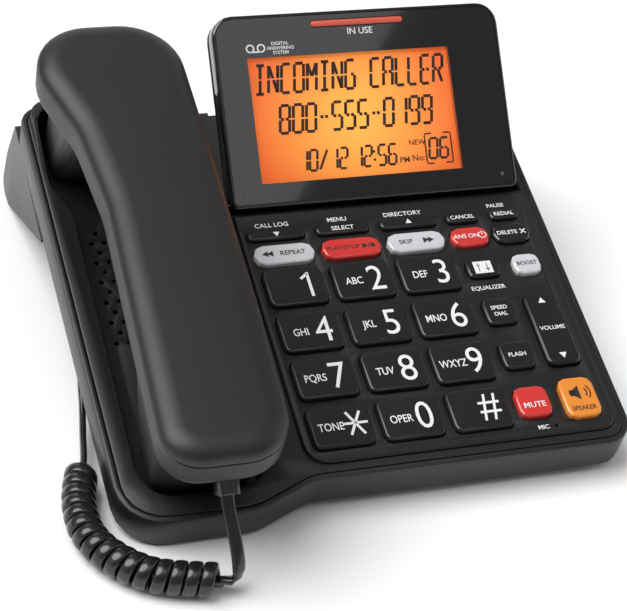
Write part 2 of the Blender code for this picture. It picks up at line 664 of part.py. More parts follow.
def build_display():
    window_floor = FACE_FRONT - WINDOW_THICK - GAP
    front = slab("display_front", face_outline(), DISPLAY_SPLIT + GAP / 2, FACE_FRONT, 0.0010, 2)
    hollow = slab("front_hollow", face_outline(DISPLAY_WALL), -0.0100, window_floor - 0.0016)
    seat = slab("window_seat", face_outline(WINDOW_MARGIN), window_floor, 0.0200)
    screen_size = [side + 2 * FIT for side in LCD_SIZE]
    lamp_hole = rectangle(LIGHT_CENTRE, LIGHT_SIZE, 0.0010, 2, -GAP)
    screen_hole = rectangle(LCD_CENTRE, screen_size, 0.0008, 1)
    holes = prisms("face_openings", [screen_hole, lamp_hole], 0.0020, 0.0150)
    for obj in (hollow, seat, holes):
        cutter(obj, DISPLAY)
    cut(front, hollow, seat, holes)
    part(front, "gloss_black", DISPLAY)

    window = slab("display_window", face_outline(WINDOW_MARGIN + GAP), window_floor + GAP, FACE_FRONT)
    lamp_slot = prisms("lamp_slot", [lamp_hole], 0.0050, 0.0150)
    cut(window, cutter(lamp_slot, DISPLAY))
    part(window, "clear_window", DISPLAY)

    lens = tapered(
        "in_use_light",
        (0.0058, rectangle(LIGHT_CENTRE, LIGHT_SIZE, 0.0010, 2, -0.0010)),
        (0.0068, rectangle(LIGHT_CENTRE, LIGHT_SIZE, 0.0010, 2, -0.0010)),
        (0.0068, rectangle(LIGHT_CENTRE, LIGHT_SIZE, 0.0010, 2)),
        (FACE_FRONT + 0.0001, rectangle(LIGHT_CENTRE, LIGHT_SIZE, 0.0010, 2)),
        (FACE_FRONT + 0.0004, rectangle(LIGHT_CENTRE, LIGHT_SIZE, 0.0010, 2, 0.0003)),
    )
    part(lens, "red_lens", DISPLAY)

    x, y = LCD_CENTRE
    across, up = LCD_SIZE[0] / 2, LCD_SIZE[1] / 2
    rim = 0.0020
    module_low = (x - across - rim, y - up - rim, 0.0024)
    module = block("lcd_module", module_low, (x + across + rim, y + up + rim, 0.0068))
    glass = block("lcd_glass", (x - across, y - up, 0.0050), (x + across, y + up, window_floor - GAP))
    join(module, cutter(glass, DISPLAY))
    part(module, "amber_screen", DISPLAY)

    back = slab("display_back", face_outline(), DISPLAY_BACK, DISPLAY_SPLIT - GAP / 2, 0.0010)
    back_hollow = slab("back_hollow", face_outline(DISPLAY_WALL), DISPLAY_BACK + 0.0016, 0.0200)
    reach = FACE_WIDTH / 2 - 0.0006
    barrel = along_u(cylinder("hinge_barrel", BARREL_RADIUS, -reach, reach, sides=16), (0, 0, 0))
    barrel_trim = block("barrel_trim", (-0.0700, -0.0050, DISPLAY_SPLIT - GAP / 2), (0.0700, 0.0060, 0.0200))
    middle_trim = block("middle_trim", (-0.0340, -0.0050, -0.0050), (0.0340, 0.0060, DISPLAY_BACK + 0.0001))
    rod_hole = along_u(cylinder("rod_hole", ROD_RADIUS + GAP, -0.0700, 0.0700, sides=12), (0, 0, 0))
    for obj in (back_hollow, barrel, barrel_trim, middle_trim, rod_hole):
        cutter(obj, DISPLAY)
    cut(back, back_hollow)
    join(back, barrel)
    cut(back, barrel_trim, middle_trim, rod_hole)
    part(back, "black_plastic", DISPLAY)
    rod = cylinder("hinge_rod", ROD_RADIUS, RECESS_LEFT - 0.0030, RECESS_RIGHT + 0.0008, sides=12)
    part(along_u(rod, (0.0, *HINGE[1:])), "steel", DECK)


# The handset: a lower shell with an ear cup and a mouth cup, and a crowned upper shell.

HANDSET_CORNERS = [
    (-0.1040, -0.1008, 0.0140),
    (-0.0590, -0.1008, 0.0170),
    (-0.0578, -0.0400, 0.0600),
    (-0.0580, 0.0500, 0.0600),
    (-0.0585, 0.1000, 0.0230),
    (-0.1145, 0.1000, 0.0210),
    (-0.1135, 0.0740, 0.0240),
    (-0.1050, 0.0480, 0.0400),
    (-0.1012, 0.0120, 0.0600),
]
EAR_FOOT_CORNERS = [
    (-0.1068, 0.0665, 0.0100),
    (-0.0622, 0.0665, 0.0100),
    (-0.0622, 0.0930, 0.0100),
    (-0.1068, 0.0930, 0.0100),
]
EAR_ROOT_CORNERS = [
    (-0.1050, 0.0420, 0.0120),
    (-0.0600, 0.0420, 0.0120),
    (-0.0600, 0.0965, 0.0170),
    (-0.1080, 0.0965, 0.0160),
]
MOUTH_FOOT_CORNERS = [
    (-0.0998, -0.0800, 0.0090),
    (-0.0618, -0.0800, 0.0090),
    (-0.0618, -0.0590, 0.0090),
    (-0.0998, -0.0590, 0.0090),
]
MOUTH_ROOT_CORNERS = [
    (-0.1024, -0.0960, 0.0110),
    (-0.0600, -0.0960, 0.0110),
    (-0.0600, -0.0360, 0.0120),
    (-0.1010, -0.0360, 0.0120),
]


def handset_outline(inset=0.0):
    return rounded_outline(HANDSET_CORNERS, inset, 3)


def cup(name, low_corners, high_corners, low, inset=0.0, edge=0.0020):
    levels = [(low, rounded_outline(low_corners, inset + edge, 3))]
    levels.append((low + edge * 0.6, rounded_outline(low_corners, inset, 3)))
    levels.append((CUP_TOP + 0.5 * inset, rounded_outline(high_corners, inset, 3)))
    return tapered(name, *levels)


def build_handset():
    levels = [(0.0262, 0.0060), (0.0276, 0.0032), (0.0300, 0.0012), (0.0330, 0.0)]
    levels += [(HANDSET_SPLIT - 0.0008, 0.0), (HANDSET_SPLIT, 0.0007)]
    bottom = tapered("handset_bottom", *[(w, handset_outline(inset)) for w, inset in levels])
    inside = ((0.0262 + SHELL, 0.0070), (0.0310, 0.0032), (0.0340, SHELL), (0.0450, SHELL))
    hollow = tapered("band_hollow", *[(w, handset_outline(inset)) for w, inset in inside])
    ear = cup("ear_cup", EAR_FOOT_CORNERS, EAR_ROOT_CORNERS, CUP_LOW)
    mouth = cup("mouth_cup", MOUTH_FOOT_CORNERS, MOUTH_ROOT_CORNERS, MOUTH_LOW)
    ear_hollow = cup("ear_hollow", EAR_FOOT_CORNERS, EAR_ROOT_CORNERS, CUP_LOW + SHELL, SHELL, 0.0010)
    mouth_floor = MOUTH_LOW + SHELL
    mouth_hollow = cup("mouth_hollow", MOUTH_FOOT_CORNERS, MOUTH_ROOT_CORNERS, mouth_floor, SHELL, 0.0010)
    ear_x, ear_y = EAR_CENTRE
    listening = [circle(EAR_CENTRE, 0.0010)]
    for i in range(8):
        a = i * math.pi / 4
        listening.append(circle((ear_x + 0.0055 * math.cos(a), ear_y + 0.0055 * math.sin(a)), 0.0010))
    listening += [circle((MOUTH_CENTRE[0] + (i - 1) * 0.0040, MOUTH_CENTRE[1]), 0.0008) for i in range(3)]
    holes = prisms("listening_holes", listening, -0.0120, -0.0020)
    socket = block("handset_socket", (-0.0042, -0.0035, -0.0090), (0.0042, 0.0050, 0.0200))
    socket.rotation_euler = (PLUG_TURN, 0.0, 0.0)
    socket.location = PLUG_PLACE
    for obj in (hollow, ear, mouth, ear_hollow, mouth_hollow, holes, socket):
        cutter(obj, DECK)
    join(bottom, ear, mouth)
    cut(bottom, hollow, ear_hollow, mouth_hollow, holes, socket)
    part(bottom, "black_plastic", DECK)

    rise = HANDSET_SPLIT + GAP
    levels = [(rise, 0.0007), (rise + 0.0007, 0.0), (0.0424, 0.0005)]
    levels += [(0.0443, 0.0020), (0.0458, 0.0048), (0.0467, 0.0088)]
    top = tapered("handset_top", *[(w, handset_outline(inset)) for w, inset in levels])
    inside = ((rise - 0.0050, SHELL), (0.0416, SHELL), (0.0430, 0.0036), (0.0444, 0.0070), (0.0450, 0.0098))
    top_hollow = tapered("crown_hollow", *[(w, handset_outline(inset)) for w, inset in inside])
    cut(top, cutter(top_hollow, DECK))
    part(top, "black_plastic", DECK)

    floor = CUP_LOW + SHELL + GAP
    profile = [(0.0, 0.0048), (0.0090, 0.0048), (0.0150, 0.0026), (0.0150, 0.0), (0.0, 0.0)]
    receiver = turned("ear_receiver", profile, 24)
    receiver.location = (*EAR_CENTRE, floor)
    receiver.scale = (0.78, 0.66, 1.0)
    part(receiver, "steel", DECK)
    microphone = cylinder("handset_microphone", 0.0048, 0.0, 0.0040, sides=16)
    microphone.location = (*MOUTH_CENTRE, MOUTH_LOW + SHELL + GAP)
    part(microphone, "steel", DECK)


# The stand and the feet.

def stand_height(v, z):
    """The w of a point at height z above the floor."""
    return (z - DECK_ORIGIN[2] - v * math.sin(DECK_SLOPE)) / math.cos(DECK_SLOPE)


def build_stand():
    low = REAR_FOOT_HEIGHT + GAP
    top = CASING_LOW - GAP
    corners = [
        (0.0440, top, 0.0008),
        (0.1075, stand_height(0.1075, low), 0.0050),
        (0.1220, stand_height(0.1220, low), 0.0050),
        (0.1170, -0.0430, 0.0600),
        (0.1060, top, 0.0008),
    ]

    def extruded(name, outline, left, right):
        return loft(name, [[(u, v, w) for v, w in outline] for u in (left, right)])

    stand = extruded("wedge_stand", rounded_outline(corners, 0.0, 4), STAND_LEFT, STAND_RIGHT)
    inner = rounded_outline(corners, STAND_WALL, 4)
    left, right = STAND_LEFT + STAND_WALL, STAND_RIGHT - STAND_WALL
    hollow = extruded("stand_hollow", inner, left, right)
    mouth = block("stand_mouth", (left, 0.0560, -0.0200), (right, 0.1030, -0.0100))
    front_low, front_high = (STAND_LEFT + 0.0100, 0.0300, -0.0530), (STAND_RIGHT - 0.0100, 0.1010, -0.0050)
    front = block("stand_front", front_low, front_high)
    gate = block("cable_gate", (-0.0350, 0.1000, -0.0320), (0.0250, 0.1200, -0.0100))
    for obj in (hollow, mouth, front, gate):
        cutter(obj, DECK)
    cut(stand, hollow, mouth, front, gate)
    part(stand, "black_plastic", DECK)


def build_feet():
    for name, (u, v) in FOOT_PLACES.items():
        rear = v > 0
        w = stand_height(v, REAR_FOOT_HEIGHT) if rear else CASING_LOW
        x = u + DECK_ORIGIN[0]
        y = v * math.cos(DECK_SLOPE) - w * math.sin(DECK_SLOPE) + DECK_ORIGIN[1]
        z = v * math.sin(DECK_SLOPE) + w * math.cos(DECK_SLOPE) + DECK_ORIGIN[2]
        rise = 0.0 if rear else math.tan(DECK_SLOPE)
        drop = 0.0 if rear else GAP
        low = [(*at, 0.0) for at in circle((0.0, 0.0), FOOT_RADIUS - 0.0005, 16)]
        edge = [(*at, 0.0005) for at in circle((0.0, 0.0), FOOT_RADIUS, 16)]
        high = [(a, b, z - drop + b * rise) for a, b in circle((0.0, 0.0), FOOT_RADIUS, 16)]
        foot = loft(name, [low, edge, high])
        foot.location = (x, y, 0.0)
        part(foot, "rubber")


# The handset cord: a plug in the handset, a straight lead, the coil, and a lead to the plug in the base.

def build_plug(name, place, rotation):
    """A modular plug about its own z axis, which points out of the socket, with its latch along +y."""
    width, height, length = PLUG_SIZE
    body = block(name, (-width / 2, -height / 2, 0.0), (width / 2, height / 2, length))
    latch_low = (-0.0016, height / 2 - 0.0005, 0.0030)
    latch = block(name + "_latch", latch_low, (0.0016, height / 2 + 0.0009, length - 0.0004))
    for obj in (body, latch):
        obj.rotation_euler = rotation
        obj.location = place
    join(body, cutter(latch, DECK))
    return part(body, "plug_clear", DECK)


def smooth_path(points, spacing):
    """Points at even spacing along a smooth curve through the given ones."""
    path = [Vector(point) for point in points]
    ends = [2 * path[0] - path[1]] + path + [2 * path[-1] - path[-2]]
    fine = []
    for a, b, c, d in zip(ends, ends[1:], ends[2:], ends[3:]):
        for step in range(20):
            t = step / 20
            bend = (2 * a - 5 * b + 4 * c - d) * t**2 + (3 * b - a - 3 * c + d) * t**3
            fine.append(0.5 * (2 * b + (c - a) * t + bend))
    fine.append(path[-1])
    lengths = [0.0]
    for a, b in zip(fine, fine[1:]):
        lengths.append(lengths[-1] + (b - a).length)
    count = max(2, round(lengths[-1] / spacing))
    even = []
    for i in range(count + 1):
        target = lengths[-1] * i / count
        j = max(k for k in range(len(fine)) if lengths[k] <= target + 1e-9)
        j = min(j, len(fine) - 2)
        share = (target - lengths[j]) / max(lengths[j + 1] - lengths[j], 1e-9)
        even.append(fine[j].lerp(fine[j + 1], share))
    return even


def tube(name, points, radius, spacing):
    curve = bpy.data.curves.new(name, "CURVE")
    curve.dimensions = "3D"
    path = smooth_path(points, spacing)
    spline = curve.splines.new("POLY")
    spline.points.add(len(path) - 1)
    for point, at in zip(spline.points, path):
        point.co = (*at, 1.0)
    curve.bevel_depth = radius
    curve.bevel_resolution = 2
    curve.use_fill_caps = True
    obj = bpy.data.objects.new(name, curve)
    CUTTERS.objects.link(obj)
    return part(baked(obj, name), "cord_black")


def deck_point(u, v, w):
    """A point of the deck as (x, y, z) above the floor, before the deck's own place is added."""
    y = v * math.cos(DECK_SLOPE) - w * math.sin(DECK_SLOPE)
    return u, y, v * math.sin(DECK_SLOPE) + w * math.cos(DECK_SLOPE) + DECK_ORIGIN[2]


def build_cord():
    build_plug("cord_plug", PLUG_PLACE, (PLUG_TURN, 0.0, 0.0))
    build_plug("cord_plug_base", BASE_PLUG_PLACE, (math.pi / 2, 0.0, -math.pi / 2))
    u, v, w = PLUG_PLACE
    reach = PLUG_SIZE[2] + GAP

    def beyond(distance):
        return deck_point(u, v - distance * math.sin(PLUG_TURN), w + distance * math.cos(PLUG_TURN))

    lead = [beyond(reach), beyond(reach + 0.0030)]
    lead += [(-0.0784, -0.1046, 0.0232), (-0.0777, -0.1096, 0.0170), (-0.0773, -0.1128, 0.0110)]
    lead += [(-0.0780, -0.1140, 0.0076), (-0.0800, -0.1140, 0.0063), (-0.0824, -0.1133, 0.0063)]
    coil_height = COIL_RADIUS + 0.0001
    coil = [(-0.0833, -0.1131), (-0.0873, -0.1122), (-0.0956, -0.1100), (-0.1037, -0.1072)]
    coil += [(-0.1096, -0.1033), (-0.1148, -0.0980), (-0.1190, -0.0920), (-0.1218, -0.0850)]
    coil += [(-0.1228, -0.0780), (-0.1224, -0.0690), (-0.1205, -0.0600), (-0.1175, -0.0510)]
    base = BASE_PLUG_PLACE
    outer = base[0] - PLUG_SIZE[2] - 2 * GAP
    base_lead = [(-0.1174, -0.0507, coil_height), (-0.1162, -0.0460, 0.0062), (-0.1140, -0.0340, 0.0060)]
    base_lead += [(-0.1115, -0.0200, 0.0085), (-0.1095, -0.0070, 0.0135)]
    base_lead += [deck_point(outer - 0.0034, base[1], base[2]), deck_point(outer, base[1], base[2])]
    shift = Vector((DECK_ORIGIN[0], DECK_ORIGIN[1], 0.0))
    tube("cord_lead_handset", [Vector(p) + shift for p in lead], LEAD_RADIUS, 0.0045)
    tube("cord_coil", [Vector((x, y, coil_height)) + shift for x, y in coil], COIL_RADIUS, 0.0070)
    tube("cord_lead_base", [Vector(p) + shift for p in base_lead], LEAD_RADIUS, 0.0050)


build_bottom_casing()
build_top_casing()
build_key_plate()
for key_name, details in key_table().items():
    build_key(key_name, *details)
build_rocker()
build_electronics()
build_jacks()
build_display()
build_handset()
build_stand()
build_feet()
build_cord()
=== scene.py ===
import json
import math

import bmesh
import bpy
from mathutils import Matrix, Vector


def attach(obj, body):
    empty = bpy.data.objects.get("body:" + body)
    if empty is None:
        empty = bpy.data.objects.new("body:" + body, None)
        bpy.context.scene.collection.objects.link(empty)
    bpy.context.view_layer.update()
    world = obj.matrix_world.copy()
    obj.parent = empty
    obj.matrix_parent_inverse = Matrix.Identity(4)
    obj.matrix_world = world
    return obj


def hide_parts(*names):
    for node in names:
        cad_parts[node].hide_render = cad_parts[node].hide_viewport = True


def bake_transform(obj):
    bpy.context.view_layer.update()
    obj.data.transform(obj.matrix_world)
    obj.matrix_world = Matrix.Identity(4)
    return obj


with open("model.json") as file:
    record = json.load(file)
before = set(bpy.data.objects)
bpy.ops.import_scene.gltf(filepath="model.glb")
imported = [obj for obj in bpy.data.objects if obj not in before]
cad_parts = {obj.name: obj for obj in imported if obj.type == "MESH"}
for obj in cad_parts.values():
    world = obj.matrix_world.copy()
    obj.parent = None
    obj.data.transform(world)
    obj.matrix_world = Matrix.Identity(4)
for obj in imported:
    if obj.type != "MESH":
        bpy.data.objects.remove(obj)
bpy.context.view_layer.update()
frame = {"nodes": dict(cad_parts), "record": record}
print("frame loaded:", len(frame["nodes"]), "nodes")

# The sloping deck carries nearly everything: u to the right, v up the slope, w out of it.
deck = {"origin": (0.01643, -0.01252, 0.0384), "slope": 14.0}
hinge = {"place": (0.0156, 0.0435, -0.0035), "tilt": 32.9}
deckMatrix = Matrix.Translation(deck["origin"]) @ Matrix.Rotation(math.radians(deck["slope"]), 4, "X")
displayMatrix = (
    deckMatrix @ Matrix.Translation(hinge["place"]) @ Matrix.Rotation(math.radians(hinge["tilt"]), 4, "X")
)
bodyOf = {node: body for body, nodes in frame["record"]["behaviour"]["bodies"].items() for node in nodes}
slotOf = {entry["node"]: entry["material_slot"] for entry in frame["record"]["subparts"]}


# camera

camera = {
    "place": (-0.2195, -0.5700, 0.4803), "right": (0.9524, -0.2868, 0.1033), "up": (0.0961, 0.6041, 0.7911),
    "lens": 113.3, "sensor": 36.0, "near": 0.05, "far": 30.0,
}


def makeCamera():
    data = bpy.data.cameras.new("studioCamera")
    data.lens = camera["lens"]
    data.sensor_width = camera["sensor"]
    data.clip_start = camera["near"]
    data.clip_end = camera["far"]
    obj = bpy.data.objects.new("studioCamera", data)
    right = Vector(camera["right"]).normalized()
    up = Vector(camera["up"])
    up = (up - right * up.dot(right)).normalized()
    back = right.cross(up)
    turn = Matrix((right, up, back)).transposed().to_4x4()
    obj.matrix_world = Matrix.Translation(camera["place"]) @ turn
    bpy.context.scene.collection.objects.link(obj)
    bpy.context.scene.camera = obj


makeCamera()


# shader groups shared by the materials

def newGroup(name, inputs, outputs):
    group = bpy.data.node_groups.new(name, "ShaderNodeTree")
    for label, kind, value in inputs:
        socket = group.interface.new_socket(label, in_out="INPUT", socket_type=kind)
        socket.default_value = value
    for label, kind in outputs:
        group.interface.new_socket(label, in_out="OUTPUT", socket_type=kind)
    return group, group.nodes.new("NodeGroupInput"), group.nodes.new("NodeGroupOutput")


def makeMouldedGroup():
    # fine spark-eroded texture of a moulded plastic, with slow changes of tone and gloss
    group, entry, leave = newGroup(
        "mouldedSurface",
        [("Color", "NodeSocketColor", (0.02, 0.02, 0.02, 1)), ("Roughness", "NodeSocketFloat", 0.4),
         ("Grain Scale", "NodeSocketFloat", 2200.0), ("Tone Change", "NodeSocketFloat", 0.15),
         ("Gloss Change", "NodeSocketFloat", 0.06)],
        [("Color", "NodeSocketColor"), ("Roughness", "NodeSocketFloat"), ("Height", "NodeSocketFloat")],
    )
    nodes, links = group.nodes, group.links
    coords = nodes.new("ShaderNodeTexCoord")
    grain = nodes.new("ShaderNodeTexNoise")
    grain.inputs["Detail"].default_value = 3.0
    links.new(coords.outputs["Object"], grain.inputs["Vector"])
    links.new(entry.outputs["Grain Scale"], grain.inputs["Scale"])
    slow = nodes.new("ShaderNodeTexNoise")
    slow.inputs["Scale"].default_value = 38.0
    slow.inputs["Detail"].default_value = 4.0
    links.new(coords.outputs["Object"], slow.inputs["Vector"])
    centred = nodes.new("ShaderNodeMath")
    centred.operation = "SUBTRACT"
    centred.inputs[1].default_value = 0.5
    links.new(slow.outputs["Fac"], centred.inputs[0])
    tone = nodes.new("ShaderNodeMath")
    tone.operation = "MULTIPLY_ADD"
    tone.inputs[2].default_value = 1.0
    links.new(centred.outputs[0], tone.inputs[0])
    links.new(entry.outputs["Tone Change"], tone.inputs[1])
    shade = nodes.new("ShaderNodeVectorMath")
    shade.operation = "SCALE"
    links.new(entry.outputs["Color"], shade.inputs[0])
    links.new(tone.outputs[0], shade.inputs["Scale"])
    links.new(shade.outputs["Vector"], leave.inputs["Color"])
    gloss = nodes.new("ShaderNodeMath")
    gloss.operation = "MULTIPLY_ADD"
    links.new(centred.outputs[0], gloss.inputs[0])
    links.new(entry.outputs["Gloss Change"], gloss.inputs[1])
    links.new(entry.outputs["Roughness"], gloss.inputs[2])
    links.new(gloss.outputs[0], leave.inputs["Roughness"])
    links.new(grain.outputs["Fac"], leave.inputs["Height"])
    return group


mouldedGroup = makeMouldedGroup()


def newMaterial(name):
    material = bpy.data.materials.new(name)
    material.use_nodes = True
    return material, material.node_tree.nodes, material.node_tree.links


def mouldedPlastic(name, color, roughness, grain=2200.0, depth=0.00002, tone=0.15, gloss=0.06, **sockets):
    material, nodes, links = newMaterial(name)
    shader = nodes["Principled BSDF"]
    surface = nodes.new("ShaderNodeGroup")
    surface.node_tree = mouldedGroup
    surface.inputs["Color"].default_value = (*color, 1.0)
    surface.inputs["Roughness"].default_value = roughness
    surface.inputs["Grain Scale"].default_value = grain
    surface.inputs["Tone Change"].default_value = tone
    surface.inputs["Gloss Change"].default_value = gloss
    links.new(surface.outputs["Color"], shader.inputs["Base Color"])
    links.new(surface.outputs["Roughness"], shader.inputs["Roughness"])
    bump = nodes.new("ShaderNodeBump")
    bump.inputs["Distance"].default_value = depth
    bump.inputs["Strength"].default_value = 0.6
    links.new(surface.outputs["Height"], bump.inputs["Height"])
    links.new(bump.outputs["Normal"], shader.inputs["Normal"])
    for label, value in sockets.items():
        shader.inputs[label.replace("_", " ")].default_value = value
    return material


amber = {
    "centre": (-0.0049, 0.0300, 0.0080), "reach": 0.060, "edge": (0.28, (0.68, 0.115, 0.018, 1)),
    "middle": (0.95, (0.95, 0.39, 0.062, 1)), "glow": 0.66, "roughness": 0.5,
}


def screenGlow():
    # amber backlight, brighter and yellower in the middle
    material, nodes, links = newMaterial("amberScreen")
    shader = nodes["Principled BSDF"]
    coords = nodes.new("ShaderNodeTexCoord")
    mapping = nodes.new("ShaderNodeMapping")
    centre = displayMatrix @ Vector(amber["centre"])
    mapping.vector_type = "POINT"
    scale = 1 / amber["reach"]
    mapping.inputs["Scale"].default_value = (scale, scale, scale)
    mapping.inputs["Location"].default_value = tuple(-scale * value for value in centre)
    gradient = nodes.new("ShaderNodeTexGradient")
    gradient.gradient_type = "SPHERICAL"
    links.new(coords.outputs["Object"], mapping.inputs["Vector"])
    links.new(mapping.outputs["Vector"], gradient.inputs["Vector"])
    ramp = nodes.new("ShaderNodeValToRGB")
    for stop, part in zip(ramp.color_ramp.elements, ("edge", "middle")):
        stop.position, stop.color = amber[part]
    links.new(gradient.outputs["Fac"], ramp.inputs["Fac"])
    links.new(ramp.outputs["Color"], shader.inputs["Base Color"])
    links.new(ramp.outputs["Color"], shader.inputs["Emission Color"])
    shader.inputs["Emission Strength"].default_value = amber["glow"]
    shader.inputs["Roughness"].default_value = amber["roughness"]
    return material


def clearPane():
    material, nodes, links = newMaterial("clearWindow")
    shader = nodes["Principled BSDF"]
    shader.inputs["Base Color"].default_value = (0.98, 0.98, 0.98, 1)
    shader.inputs["Roughness"].default_value = 0.02
    shader.inputs["Transmission Weight"].default_value = 1.0
    shader.inputs["IOR"].default_value = 1.1
    return material


# each moulded material: name, colour, roughness, scale and depth of the grain, change of tone
materials = {
    "black_plastic": mouldedPlastic("blackCasing", (0.0085, 0.0085, 0.0091), 0.40, 1500.0, 0.00003),
    "handset": mouldedPlastic("blackHandset", (0.0115, 0.0115, 0.0121), 0.44, 1500.0, 0.00003),
    "gloss_black": mouldedPlastic("glossBlack", (0.008, 0.008, 0.009), 0.07, 900.0, 0.000002, Coat_Weight=0.6),
    "key_black": mouldedPlastic("blackKey", (0.009, 0.009, 0.010), 0.28, 1800.0, 0.00001, Coat_Weight=0.15),
    "silver_key": mouldedPlastic("silverKey", (0.60, 0.61, 0.63), 0.20, 900.0, 0.000004, Coat_Weight=0.7),
    "red_key": mouldedPlastic("redKey", (0.62, 0.035, 0.030), 0.18, 900.0, 0.000004, Coat_Weight=0.7),
    "orange_key": mouldedPlastic("orangeKey", (0.80, 0.26, 0.030), 0.22, 900.0, 0.000004, Coat_Weight=0.6),
    "amber_screen": screenGlow(),
    "red_lens": mouldedPlastic("redLens", (0.66, 0.10, 0.055), 0.3, 1200.0, 0.000004, Coat_Weight=0.5),
    "clear_window": clearPane(),
    "rubber": mouldedPlastic("footRubber", (0.016, 0.016, 0.016), 0.8, 1400.0, 0.00005),
    "silicone": mouldedPlastic("greySilicone", (0.30, 0.31, 0.32), 0.6, 1400.0, 0.00002),
    "circuit_board": mouldedPlastic("greenBoard", (0.02, 0.15, 0.06), 0.4, 2600.0, 0.00002),
    "steel": mouldedPlastic("platedSteel", (0.55, 0.56, 0.58), 0.3, 2600.0, 0.00001, Metallic=1.0),
    "cord_black": mouldedPlastic("cordSheath", (0.012, 0.012, 0.013), 0.24, 1300.0, 0.00001, Coat_Weight=0.3),
    "plug_clear": mouldedPlastic("smokyPlug", (0.030, 0.030, 0.033), 0.14, 900.0, 0.000004, Coat_Weight=0.5),
    "legend": mouldedPlastic("whiteInk", (0.80, 0.80, 0.80), 0.5, 2600.0, 0.000002, 0.05),
    "darkLegend": mouldedPlastic("blackInk", (0.02, 0.02, 0.02), 0.5, 2600.0, 0.000002, 0.05),
    "segment": mouldedPlastic("screenSegment", (0.035, 0.014, 0.006), 0.6, 2600.0, 0.000002, 0.05),
    "greyDot": mouldedPlastic("greyDot", (0.10, 0.10, 0.10), 0.4, 2600.0, 0.000002, 0.05),
}
print("materials made:", len(materials))


# helpers for pieces

def looseObject(name, shape):
    mesh = bpy.data.meshes.new(name)
    shape.to_mesh(mesh)
    shape.free()
    obj = bpy.data.objects.new(name, mesh)
    bpy.context.scene.collection.objects.link(obj)
    return obj


def addPiece(name, shape, material, body, smooth=35.0):
    obj = looseObject(name, shape)
    obj.data.materials.append(materials[material])
    obj.data.shade_smooth()
    obj.data.set_sharp_from_angle(angle=math.radians(smooth))
    if body:
        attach(obj, body)
    return obj


def addBevel(obj, width, segments, angle):
    bevel = obj.modifiers.new("edge", "BEVEL")
    bevel.width = width
    bevel.segments = segments
    bevel.limit_method = "ANGLE"
    bevel.angle_limit = math.radians(angle)
    bevel.harden_normals = True
    bevel.use_clamp_overlap = True


def mergedCopy(node):
    shape = bmesh.new()
    shape.from_mesh(frame["nodes"][node].data)
    bmesh.ops.remove_doubles(shape, verts=shape.verts, dist=0.000002)
    bmesh.ops.dissolve_limit(
        shape, angle_limit=math.radians(0.4), verts=shape.verts, edges=shape.edges, use_dissolve_boundaries=False
    )
    return shape


def refine(node, width=0.0003, segments=2, angle=30.0):
    # the CAD piece with its moulded edges rounded
    shape = mergedCopy(node)
    slot = slotOf[node]
    obj = addPiece(node + "Piece", shape, slot, bodyOf[node], 180.0)
    addBevel(obj, width, segments, angle)
    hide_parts(node)
    return obj


def localBox(node, matrix):
    back = matrix.inverted()
    points = [back @ vertex.co for vertex in frame["nodes"][node].data.vertices]
    low = Vector([min(point[axis] for point in points) for axis in range(3)])
    high = Vector([max(point[axis] for point in points) for axis in range(3)])
    return low, high


# handset cord: one flat sheath, straight at both ends and coiled between them

cord = {
    "width": 0.0048, "thickness": 0.0026, "coilRadius": 0.0062, "pitch": 0.0051, "pointsPerTurn": 18,
    "lift": 0.0001, "leadStep": 0.0025, "coilStep": 0.0005, "easedTurns": 0.6, "sides": 12, "squareness": 0.7,
    "plug": (-0.1022, -0.0050, -0.0205), "plugStraight": 0.0034,
    "leadRoute": [(-0.0790, -0.0980, 0.0305), (-0.0790, -0.0998, 0.0281), (-0.0784, -0.1046, 0.0232),
                  (-0.0777, -0.1096, 0.0170), (-0.0773, -0.1128, 0.0110), (-0.0780, -0.1140, 0.0076),
                  (-0.0800, -0.1140, 0.0063), (-0.0824, -0.1133, 0.0063)],
    "coilRoute": [(-0.0833, -0.1131), (-0.0873, -0.1122), (-0.0956, -0.1100), (-0.1037, -0.1072),
                  (-0.1096, -0.1033), (-0.1148, -0.0980), (-0.1190, -0.0920), (-0.1218, -0.0850),
                  (-0.1228, -0.0780), (-0.1224, -0.0690), (-0.1205, -0.0600), (-0.1175, -0.0510)],
    "baseRoute": [(-0.1174, -0.0507, 0.0063), (-0.1162, -0.0460, 0.0062), (-0.1140, -0.0340, 0.0060),
                  (-0.1115, -0.0200, 0.0085), (-0.1095, -0.0070, 0.0135)],
}


def smoothPath(points, spacing):
    # evenly spaced points on a smooth curve through the route
    route = [Vector(point) for point in points]
    ends = [2 * route[0] - route[1]] + route + [2 * route[-1] - route[-2]]
    fine = []
    for a, b, c, d in zip(ends, ends[1:], ends[2:], ends[3:]):
        for step in range(24):
            t = step / 24
            bend = (2 * a - 5 * b + 4 * c - d) * t**2 + (3 * b - a - 3 * c + d) * t**3
            fine.append(0.5 * (2 * b + (c - a) * t + bend))
    fine.append(route[-1])
    lengths = [0.0]
    for a, b in zip(fine, fine[1:]):
        lengths.append(lengths[-1] + (b - a).length)
    count = max(2, round(lengths[-1] / spacing))
    even, k = [], 0
    for i in range(count + 1):
        target = lengths[-1] * i / count
        while k < len(fine) - 2 and lengths[k + 1] < target:
            k += 1
        share = (target - lengths[k]) / max(lengths[k + 1] - lengths[k], 1e-9)
        even.append(fine[k].lerp(fine[k + 1], min(share, 1.0)))
    return even


